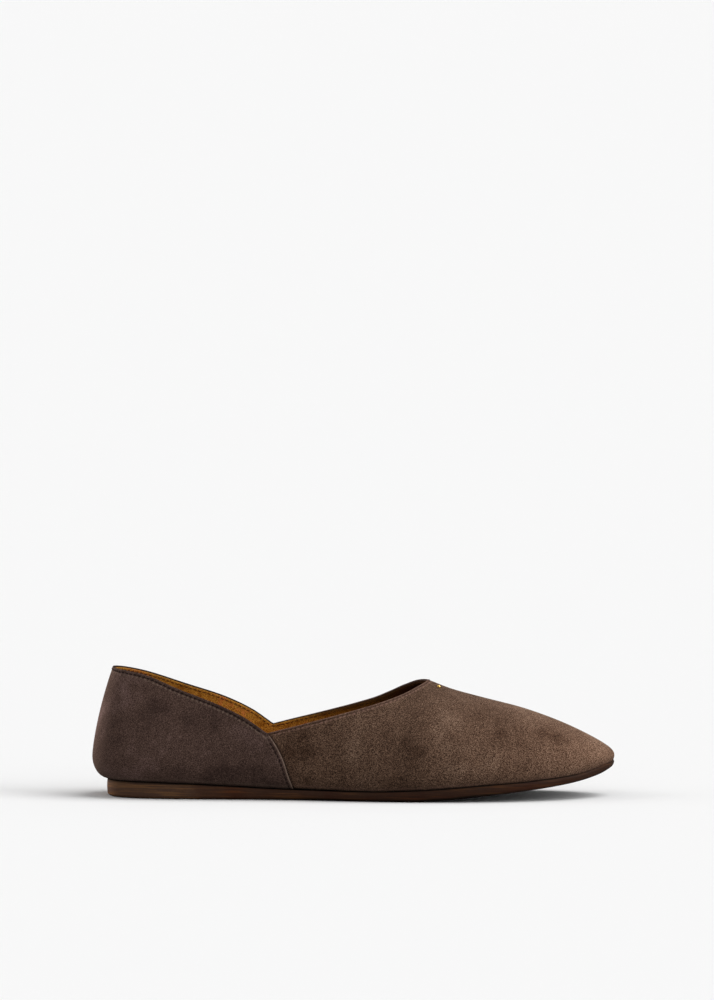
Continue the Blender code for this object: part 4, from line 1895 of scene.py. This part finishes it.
class Effects:
    """Shader groups that several finishes share."""

    FULL_TONE = 0.12
    DYE_STOPS = {"Heel": -125.0, "Waist": -45.0, "Ball": 30.0, "Toe": 92.0, "Tip": 126.0}

    def __init__(self) -> None:
        """Make each group once."""
        self.mottle = self.make_mottle()
        self.nap = self.make_nap()
        self.grain = self.make_grain()
        self.rub = self.make_rub()
        self.dye = self.make_dye()

    @staticmethod
    def begin(
        name: str, inputs: dict[str, float | tuple], *outputs: str
    ) -> tuple[Sketch, dict[str, Socket], Node]:
        """Start a group.

        Args:
            name: Name of the group.
            inputs: Named inputs with their usual values, numbers or colours.
            outputs: Names of the outputs: Color for a colour, others for values.

        Returns:
            Sketch of the group, its inputs by name, and its output node.
        """
        tree = bpy.data.node_groups.new(name, "ShaderNodeTree")
        for key, value in inputs.items():
            kind = "NodeSocketColor" if isinstance(value, tuple) else "NodeSocketFloat"
            tree.interface.new_socket(key, in_out="INPUT", socket_type=kind).default_value = value
        for key in outputs:
            kind = "NodeSocketColor" if key == "Color" else "NodeSocketFloat"
            tree.interface.new_socket(key, in_out="OUTPUT", socket_type=kind)
        entry = tree.nodes.new("NodeGroupInput")
        leave = tree.nodes.new("NodeGroupOutput")
        return Sketch(tree), {key: entry.outputs[key] for key in inputs}, leave

    def make_mottle(self) -> NodeTree:
        """Clouds of a lighter and a darker tint, as in any hide, with the listed brushed patches.

        Returns:
            The shader group.
        """
        inputs = {"Color": WHITE, "Dark": WHITE, "Light": WHITE, "Size": 14.0, "Amount": 0.5}
        sketch, given, leave = self.begin("hide_mottle", inputs, "Color")
        place = sketch.millimetres()
        wide = sketch.noise(place, sketch.math("DIVIDE", 0.6, given["Size"]), detail=2.0)
        small = sketch.noise(place, sketch.math("DIVIDE", 2.1, given["Size"]), detail=3.0, roughness=0.6)
        cloud = sketch.math("MULTIPLY_ADD", small, 0.45, sketch.math("MULTIPLY_ADD", wide, 0.55, -0.5))
        brushed = sketch.math("MULTIPLY", sketch.mask(TONE_MASK), self.FULL_TONE)
        cloud = sketch.math("MULTIPLY_ADD", cloud, given["Amount"], brushed)
        dark = sketch.spread(cloud, 0.0, -self.FULL_TONE, 0.0, 1.0)
        light = sketch.spread(cloud, 0.0, self.FULL_TONE, 0.0, 1.0)
        shaded = sketch.mix(dark, given["Color"], given["Dark"], "MULTIPLY")
        sketch.feed(leave, {"Color": sketch.mix(light, shaded, given["Light"], "MULTIPLY")})
        return sketch.tree

    def make_nap(self) -> NodeTree:
        """Brushed fibres of suede: speckle of tips and pits, and their height.

        Returns:
            The shader group.
        """
        inputs = {"Color": WHITE, "Tip": WHITE, "Pit": WHITE, "Grain": 0.5, "Size": 0.8}
        sketch, given, leave = self.begin("suede_nap", inputs, "Color", "Height")
        place = sketch.millimetres((1.3, 1.0, 1.0))
        speck = sketch.noise(place, sketch.math("DIVIDE", 1.0, given["Size"]), detail=1.0, roughness=0.6)
        strands = sketch.millimetres((2.6, 1.0, 1.0))
        fibre = sketch.noise(strands, sketch.math("DIVIDE", 3.4, given["Size"]), detail=2.0, roughness=0.7)
        height = sketch.sum_of(speck, 0.62, fibre, 0.38)
        tip = sketch.math("MULTIPLY", sketch.spread(height, 0.47, 0.62, 0.0, 1.0), given["Grain"])
        pit = sketch.math("MULTIPLY", sketch.spread(height, 0.53, 0.38, 0.0, 1.0), given["Grain"])
        shaded = sketch.mix(pit, given["Color"], given["Pit"])
        sketch.feed(leave, {"Color": sketch.mix(tip, shaded, given["Tip"]), "Height": height})
        return sketch.tree

    def make_grain(self) -> NodeTree:
        """Fine pebble of smooth leather: its height and its pores.

        Returns:
            The shader group.
        """
        sketch, given, leave = self.begin("leather_grain", {"Size": 0.7}, "Height", "Pores")
        place = sketch.millimetres()
        warp = sketch.add("TexNoise", {"Vector": place, "Scale": 0.9, "Detail": 2.0}).outputs["Color"]
        inputs = {0: warp, 1: (0.5, 0.5, 0.5), 2: place}
        bent = sketch.add("VectorMath", inputs, operation="MULTIPLY_ADD").outputs[0]
        scale = sketch.math("DIVIDE", 1.0, given["Size"])
        inputs = {"Vector": bent, "Scale": scale}
        cells = sketch.add("TexVoronoi", inputs, feature="DISTANCE_TO_EDGE").outputs["Distance"]
        pebble = sketch.spread(cells, 0.0, 0.35, 0.0, 1.0)
        fine = sketch.noise(place, sketch.math("MULTIPLY", scale, 3.0), detail=2.0)
        pores = sketch.math("SUBTRACT", 1.0, pebble)
        sketch.feed(leave, {"Height": sketch.sum_of(pebble, 0.7, fine, 0.3), "Pores": pores})
        return sketch.tree

    def make_dye(self) -> NodeTree:
        """Colour that fades from one stretch of the shoe to the next: partly the hide's own tone, partly
        painted light and shade.

        Returns:
            The shader group.
        """
        inputs = {"Color": WHITE} | dict.fromkeys(self.DYE_STOPS, 1.0)
        sketch, given, leave = self.begin("dye_and_light_fade", inputs, "Color")
        along = sketch.add("SeparateXYZ", {0: sketch.millimetres()}).outputs[0]
        stops = list(self.DYE_STOPS.items())
        share = given[stops[0][0]]
        for (behind, start), (ahead, end) in zip(stops, stops[1:]):
            step = sketch.math("SUBTRACT", given[ahead], given[behind])
            part = sketch.add("MapRange", {0: along, 1: start, 2: end}).outputs[0]
            share = sketch.math("ADD", share, sketch.math("MULTIPLY", step, part))
        faded = sketch.add("VectorMath", {0: given["Color"], 1: share}, operation="MULTIPLY").outputs[0]
        sketch.feed(leave, {"Color": faded})
        return sketch.tree

    def make_rub(self) -> NodeTree:
        """Paler colour along edges, from rubbing and painted highlights, darker where shade is painted.

        Returns:
            The shader group.
        """
        inputs = {"Color": WHITE, "Rubbed": WHITE, "Soiled": WHITE, "Amount": 0.5, "Shade Amount": 0.8}
        sketch, given, leave = self.begin("edge_wear_light_and_shade", inputs, "Color")
        patch = sketch.spread(sketch.noise(sketch.millimetres(), scale=0.8, detail=3.0), 0.25, 0.6, 0.45, 1.0)
        worn = sketch.math("MULTIPLY", sketch.mask(WEAR_AND_HIGHLIGHT_MASK), patch)
        rubbed = sketch.mix(sketch.math("MULTIPLY", worn, given["Amount"]), given["Color"], given["Rubbed"])
        shading = sketch.math("MULTIPLY", sketch.mask(PAINTED_SHADE_MASK), given["Shade Amount"])
        sketch.feed(leave, {"Color": sketch.mix(shading, rubbed, given["Soiled"])})
        return sketch.tree


class DyeAndLight(NamedTuple):
    """How much colour stands at the heel, waist, ball, toe and tip of the shoe: partly the hide's own tone,
    partly painted light and shade.
    """

    heel: float = 1.0
    waist: float = 1.0
    ball: float = 1.0
    toe: float = 1.0
    tip: float = 1.0


def new_finish(name: str) -> tuple[Material, Sketch, Node]:
    """Start a material.

    Args:
        name: Name of the material.

    Returns:
        The material, a sketch of its nodes, and its shader.
    """
    material = bpy.data.materials.new(name)
    material.use_nodes = True
    return material, Sketch(material.node_tree), material.node_tree.nodes["Principled BSDF"]


@dataclass(frozen=True, kw_only=True)
class HideFinish:
    """What the hides of the shoe share: clouds, a fade along the shoe that is partly painted light, pale
    edges with painted highlights, and painted shade.
    """

    name: str
    colour: Colour
    dark: Colour
    light: Colour
    # Colour of the painted shade, and of pale edges from rubbing and painted highlights.
    soiled: Colour
    rubbed: Colour = (255, 255, 255)
    rub: float = 0.0
    dye: DyeAndLight = DyeAndLight()
    cloud_size: float = 15.0
    clouds: float = 0.5

    def aged(self, sketch: Sketch, effects: Effects, colour: Socket) -> Socket:
        """Lay the clouds, the fade along the shoe with its painted light, the pale edges with their painted
        highlights, and the painted shade over a colour.

        Args:
            sketch: Sketch of the material.
            effects: Shared shader groups.
            colour: Colour of the new hide.

        Returns:
            Colour with all of these laid on.
        """
        tints = {"Dark": tint(self.dark, self.colour), "Light": tint(self.light, self.colour)}
        cloudy = {"Color": colour, "Size": self.cloud_size, "Amount": self.clouds} | tints
        clouds = sketch.group(effects.mottle, cloudy).outputs["Color"]
        shares = {name.title(): share for name, share in self.dye._asdict().items()}
        dyed_and_lit = sketch.group(effects.dye, {"Color": clouds} | shares).outputs["Color"]
        worn = {"Rubbed": linear(self.rubbed), "Soiled": linear(self.soiled), "Amount": self.rub}
        return sketch.group(effects.rub, {"Color": dyed_and_lit} | worn).outputs["Color"]


@dataclass(frozen=True, kw_only=True)
class SuedeFinish(HideFinish):
    """Napped hide: clouds, speckled fibres and a dusty sheen."""

    tip: Colour
    pit: Colour
    rub: float = 0.5
    grain: float = 1.0
    grain_size: float = 0.34
    roughness: float = 0.95
    specular: float = 0.08
    sheen: float = 0.06
    sheen_roughness: float = 0.45
    sheen_tint: Colour = (214, 186, 168)
    bump: float = 0.18
    bump_strength: float = 0.8

    def make(self, effects: Effects) -> Material:
        """Make the material from the shared groups.

        Args:
            effects: Shared shader groups.

        Returns:
            The material.
        """
        material, sketch, shader = new_finish(self.name)
        fibres = {"Color": linear(self.colour), "Tip": linear(self.tip), "Pit": linear(self.pit)}
        nap = sketch.group(effects.nap, fibres | {"Grain": self.grain, "Size": self.grain_size})
        surface = {
            "Base Color": self.aged(sketch, effects, nap.outputs["Color"]),
            "Normal": sketch.bump(nap.outputs["Height"], self.bump, self.bump_strength),
            "Roughness": self.roughness,
            "Specular IOR Level": self.specular,
            "Sheen Weight": self.sheen,
            "Sheen Roughness": self.sheen_roughness,
            "Sheen Tint": linear(self.sheen_tint),
        }
        sketch.feed(shader, surface)
        return material


@dataclass(frozen=True, kw_only=True)
class LeatherFinish(HideFinish):
    """Smooth hide: clouds, pores, streaks along its layers and a satin surface."""

    pore: Colour
    cloud_size: float = 12.0
    clouds: float = 0.6
    grain_size: float = 0.6
    pores: float = 0.3
    streak: Colour = (0, 0, 0)
    streaks: float = 0.0
    streak_stretch: tuple[float, float, float] = (16.0, 16.0, 0.7)
    specular: float = 0.35
    rough_low: float = 0.55
    rough_high: float = 0.75
    bump: float = 0.08
    bump_strength: float = 0.7

    def make(self, effects: Effects) -> Material:
        """Make the material from the shared groups.

        Args:
            effects: Shared shader groups.

        Returns:
            The material.
        """
        material, sketch, shader = new_finish(self.name)
        grain = sketch.group(effects.grain, {"Size": self.grain_size})
        share = sketch.math("MULTIPLY", grain.outputs["Pores"], self.pores)
        colour = sketch.mix(share, linear(self.colour), linear(self.pore))
        layers = sketch.noise(sketch.millimetres(self.streak_stretch), scale=0.8, detail=2.0, roughness=0.6)
        colour = sketch.mix(sketch.spread(layers, 0.46, 0.68, 0.0, self.streaks), colour, linear(self.streak))
        height = grain.outputs["Height"]
        surface = {
            "Base Color": self.aged(sketch, effects, colour),
            "Roughness": sketch.spread(height, 0.2, 0.9, self.rough_high, self.rough_low),
            "Normal": sketch.bump(height, self.bump, self.bump_strength),
            "Specular IOR Level": self.specular,
        }
        sketch.feed(shader, surface)
        return material


@dataclass(frozen=True)
class ThreadFinish:
    """Twisted sewing thread."""

    name: str
    colour: Colour
    shade: Colour
    twist: float = 0.28
    twist_run: float = 0.31
    slant: tuple[float, float, float] = (0.4, 0.5, 0.7)
    bump: float = 0.05
    bump_strength: float = 0.6
    roughness: float = 0.85
    specular: float = 0.1

    def make(self) -> Material:
        """Make the material with its plies as slanted stripes.

        Returns:
            The material.
        """
        material, sketch, shader = new_finish(self.name)
        slant = sketch.add("Mapping", {"Vector": sketch.millimetres(), "Rotation": self.slant})
        inputs = {"Vector": slant.outputs[0], "Scale": self.twist_run / self.twist}
        inputs |= {"Distortion": 1.5, "Detail": 1.0}
        plies = sketch.add("TexWave", inputs).outputs["Fac"]
        surface = {
            "Base Color": sketch.mix(plies, linear(self.shade), linear(self.colour)),
            "Normal": sketch.bump(plies, self.bump, self.bump_strength),
            "Roughness": self.roughness,
            "Specular IOR Level": self.specular,
        }
        sketch.feed(shader, surface)
        return material


@dataclass(frozen=True)
class BrassFinish:
    """Polished brass with faint handling marks."""

    name: str = "stud_brass"
    colour: Colour = (236, 196, 118)
    dull: Colour = (190, 148, 78)
    rough_low: float = 0.18
    rough_high: float = 0.34

    def make(self) -> Material:
        """Make the material with its worn patches.

        Returns:
            The material.
        """
        material, sketch, shader = new_finish(self.name)
        marks = sketch.noise(sketch.millimetres(), scale=3.0, detail=3.0, roughness=0.6)
        worn = sketch.spread(marks, 0.4, 0.7, 0.0, 1.0)
        surface = {
            "Base Color": sketch.mix(worn, linear(self.colour), linear(self.dull)),
            "Roughness": sketch.spread(marks, 0.3, 0.7, self.rough_low, self.rough_high),
            "Metallic": 1.0,
        }
        sketch.feed(shader, surface)
        return material


VAMP_SUEDE = SuedeFinish(
    name="vamp_suede",
    colour=(112, 82, 64),
    dark=(84, 58, 43),
    light=(132, 100, 80),
    tip=(192, 153, 127),
    pit=(44, 28, 21),
    rubbed=(146, 112, 100),
    soiled=(16, 10, 8),
    rub=0.75,
    # Darker behind, lighter toward the toe: partly the suede's tone, partly painted light where the light
    # falls from the toe side.
    dye=DyeAndLight(heel=0.44, waist=0.46, ball=0.37, toe=0.58, tip=0.74),
)

QUARTER_SUEDE = SuedeFinish(
    name="quarter_suede",
    colour=(71, 53, 46),
    dark=(53, 38, 33),
    light=(90, 69, 63),
    tip=(103, 82, 74),
    pit=(45, 32, 27),
    rubbed=(136, 117, 103),
    soiled=(16, 10, 8),
    # Lighter at the heel: partly the suede's tone, partly painted light.
    dye=DyeAndLight(heel=1.12, waist=0.90),
    rub=0.65,
)

LINING_SUEDE = SuedeFinish(
    name="lining_suede",
    colour=(160, 107, 35),
    dark=(132, 80, 18),
    light=(174, 98, 42),
    tip=(192, 142, 62),
    pit=(98, 56, 14),
    rubbed=(140, 98, 48),
    soiled=(40, 17, 8),
    # Dark from the ball to the tip: painted shade in the throat.
    dye=DyeAndLight(heel=0.86, waist=1.3, ball=0.10, toe=0.05, tip=0.05),
    cloud_size=7.0,
    clouds=0.8,
    rub=0.3,
    sheen_tint=(230, 180, 110),
)

SOCK_LEATHER = LeatherFinish(
    name="sock_leather",
    colour=(172, 118, 48),
    dark=(146, 92, 32),
    light=(190, 142, 74),
    pore=(120, 76, 26),
    soiled=(90, 56, 22),
    cloud_size=20.0,
)

SOLE_LEATHER = LeatherFinish(
    name="sole_leather",
    colour=(77, 49, 34),
    dark=(72, 38, 23),
    light=(86, 61, 47),
    pore=(41, 25, 15),
    soiled=(12, 7, 5),
    # Lighter at the heel and darker at the ball: mostly the sole's colour, the tip held darker as painted
    # shade against the toe-side light.
    dye=DyeAndLight(heel=1.15, waist=0.90, ball=0.54, toe=0.62, tip=0.52),
    cloud_size=26.0,
    grain_size=0.45,
    streak=(102, 65, 37),
    streaks=0.9,
    specular=0.12,
    rough_low=0.42,
    rough_high=0.58,
)

QUARTER_THREAD = ThreadFinish("quarter_thread", (48, 34, 30), (26, 17, 14))
VAMP_THREAD = ThreadFinish("vamp_thread", (98, 74, 63), (64, 46, 38))
LINING_THREAD = ThreadFinish("lining_thread", (76, 45, 16), (44, 25, 9))


class Lamp(NamedTuple):
    """Soft studio light: the direction it comes from, its strength and its width in degrees.

    A lamp that is flagged off lights the shoe alone and not the floor, without a glint.
    """

    name: str
    come_from: tuple[float, float, float]
    strength: float
    width: float
    flagged_off: bool = False


@dataclass(eq=False)
class Studio:
    """Pale floor, soft light all round and a long lens at the side of the shoe."""

    backdrop: float = 0.939
    ambient: float = 0.30
    bounce: float = 0.30
    floor_half: float = 40.0
    floor_drop: float = 0.0001
    azimuth: float = 2.5
    elevation: float = 5.0
    distance: float = 8.0
    frame_height: float = 0.498
    look_right: float = 0.0020
    look_up: float = 0.1471
    sensor: float = 36.0
    lamps: tuple[Lamp, ...] = (
        Lamp("overhead", (0.50, 0.00, 1.0), 1.6, 45.0),
        Lamp("toe_side", (0.95, -0.35, 0.40), 1.35, 45.0),
        Lamp("heel_side", (-1.00, -0.05, 0.55), 0.5, 40.0),
        Lamp("camera_side", (0.0, -1.0, 0.30), 0.5, 60.0),
        Lamp("heel_rim", (-1.00, 1.20, 0.50), 4.6, 24.0, flagged_off=True),
    )

    def floor_shade(self) -> float:
        """Match the floor to the backdrop, so that they meet without a line.

        Returns:
            Share of light that the floor gives back.
        """
        light = self.ambient
        for lamp in self.lamps:
            if not lamp.flagged_off:
                light += lamp.strength * Vector(lamp.come_from).normalized().z / math.pi
        return self.backdrop / light

    def build_floor(self) -> Piece:
        """Lay the floor.

        Returns:
            Object of the floor.
        """
        bpy.ops.mesh.primitive_plane_add(size=2.0 * self.floor_half, location=(0.0, 0.0, -self.floor_drop))
        floor = bpy.context.object
        floor.name = "floor"
        material, sketch, shader = new_finish("floor_paper")
        shade = (*[self.floor_shade()] * 3, 1.0)
        sketch.feed(shader, {"Base Color": shade, "Roughness": 1.0, "Specular IOR Level": 0.0})
        dim = (*[self.bounce] * 3, 1.0)
        flagged = sketch.add("BsdfDiffuse", {"Color": dim}).outputs[0]
        seen = sketch.add("LightPath").outputs["Is Camera Ray"]
        paper = sketch.add("MixShader", {0: seen, 1: flagged, 2: shader.outputs[0]}).outputs[0]
        sketch.feed(sketch.tree.nodes["Material Output"], {"Surface": paper})
        floor.data.materials.append(material)
        return floor

    def build_light(self, floor: Piece) -> None:
        """Hang the lamps and fill the room.

        Args:
            floor: Floor, which lamps that are flagged off leave dark.
        """
        flag = bpy.data.collections.new("floor_flag")
        flag.objects.link(floor)
        flag.collection_objects[0].light_linking.link_state = "EXCLUDE"
        world = bpy.data.worlds.new("studio")
        bpy.context.scene.world = world
        world.use_nodes = True
        sketch = Sketch(world.node_tree)
        seen = sketch.add("LightPath").outputs["Is Camera Ray"]
        level = sketch.spread(seen, 0.0, 1.0, self.ambient, self.backdrop)
        sketch.feed(world.node_tree.nodes["Background"], {"Color": WHITE, "Strength": level})
        for lamp in self.lamps:
            light = bpy.data.lights.new(lamp.name, "SUN")
            light.energy = lamp.strength
            light.angle = math.radians(lamp.width)
            hung = bpy.data.objects.new(lamp.name, light)
            hung.rotation_mode = "QUATERNION"
            hung.rotation_quaternion = Vector(lamp.come_from).to_track_quat("Z", "Y")
            if lamp.flagged_off:
                hung.visible_glossy = False
                hung.light_linking.receiver_collection = flag
            bpy.context.scene.collection.objects.link(hung)

    def build_camera(self) -> None:
        """Set the camera at the photograph's angle."""
        turn = math.radians(self.azimuth)
        away = math.radians(self.elevation)
        tilt = away - math.atan2(self.look_up, self.distance)
        right = Vector((math.cos(turn), math.sin(turn), 0.0))
        sight, back = (
            Vector((math.sin(turn) * math.cos(angle), -math.cos(turn) * math.cos(angle), math.sin(angle)))
            for angle in (away, tilt)
        )
        lens = bpy.data.cameras.new("camera")
        lens.sensor_width = self.sensor
        lens.lens = self.sensor * self.distance / self.frame_height
        lens.clip_end = 4.0 * self.floor_half
        camera = bpy.data.objects.new("camera", lens)
        camera.location = right * self.look_right + sight * math.hypot(self.distance, self.look_up)
        camera.rotation_mode = "QUATERNION"
        camera.rotation_quaternion = (-back).to_track_quat("-Z", "Y")
        bpy.context.scene.collection.objects.link(camera)
        bpy.context.scene.camera = camera

    def build(self) -> None:
        """Set up floor, light and camera."""
        self.build_light(self.build_floor())
        self.build_camera()
        bpy.context.scene.view_settings.view_transform = "Standard"
        LOG.info("studio: %d lamps", len(self.lamps))


def sew(last: Last, vamp: Vamp, quarter: Quarter, lining: Lining) -> None:
    """Sew the rows of stitches along the edges of the panels.

    Args:
        last: Last that the panels lie on.
        vamp: Front panel, built.
        quarter: Back panel, built.
        lining: Lining, built.
    """
    thread = QUARTER_THREAD.make()
    surface = quarter.shell.surface()
    row = StitchRow("vamp_stitches", last, vamp.edge.groove_at, skip=last.tab + last.lap_clear)
    row.dress(row.build(vamp.collar, vamp.shell.surface()), VAMP_THREAD.make(), "vamp_suede")
    row = StitchRow("quarter_stitches", last, quarter.edge.groove_at, skip=1.5, radius=0.32, lift=0.08)
    row.dress(row.build(quarter.collar, surface), thread, "quarter_suede")
    for side, line in zip(Side, quarter.front_lines):
        name = f"quarter_front_stitches_{side.name.lower()}"
        row = StitchRow(name, last, quarter.front_edge.groove_at, skip=3.0)
        row.dress(row.build(line, surface), thread, "quarter_suede")
    row = StitchRow("lining_stitches", last, inset=1.0, radius=0.22)
    row.dress(row.build(lining.collar, lining.shell.inside()), LINING_THREAD.make(), "sock_leather")


def main() -> None:
    """Build the shoe and the studio in order."""
    logging.basicConfig(level=logging.INFO, format="%(name)s: %(message)s")
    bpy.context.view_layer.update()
    effects = Effects()
    last = Last()
    lining = Lining(last)
    vamp = Vamp(last)
    quarter = Quarter(last)
    pieces = (
        (Outsole(last), SOLE_LEATHER),
        (Insole(last), SOCK_LEATHER),
        (lining, LINING_SUEDE),
        (vamp, VAMP_SUEDE),
        (quarter, QUARTER_SUEDE),
    )
    for piece, finish in pieces:
        piece.dress(piece.build(), finish.make(effects))
    sew(last, vamp, quarter, lining)
    stud = Stud(last)
    stud.dress(stud.build(), BrassFinish().make())
    Studio().build()


if __name__ == "__main__":
    main()
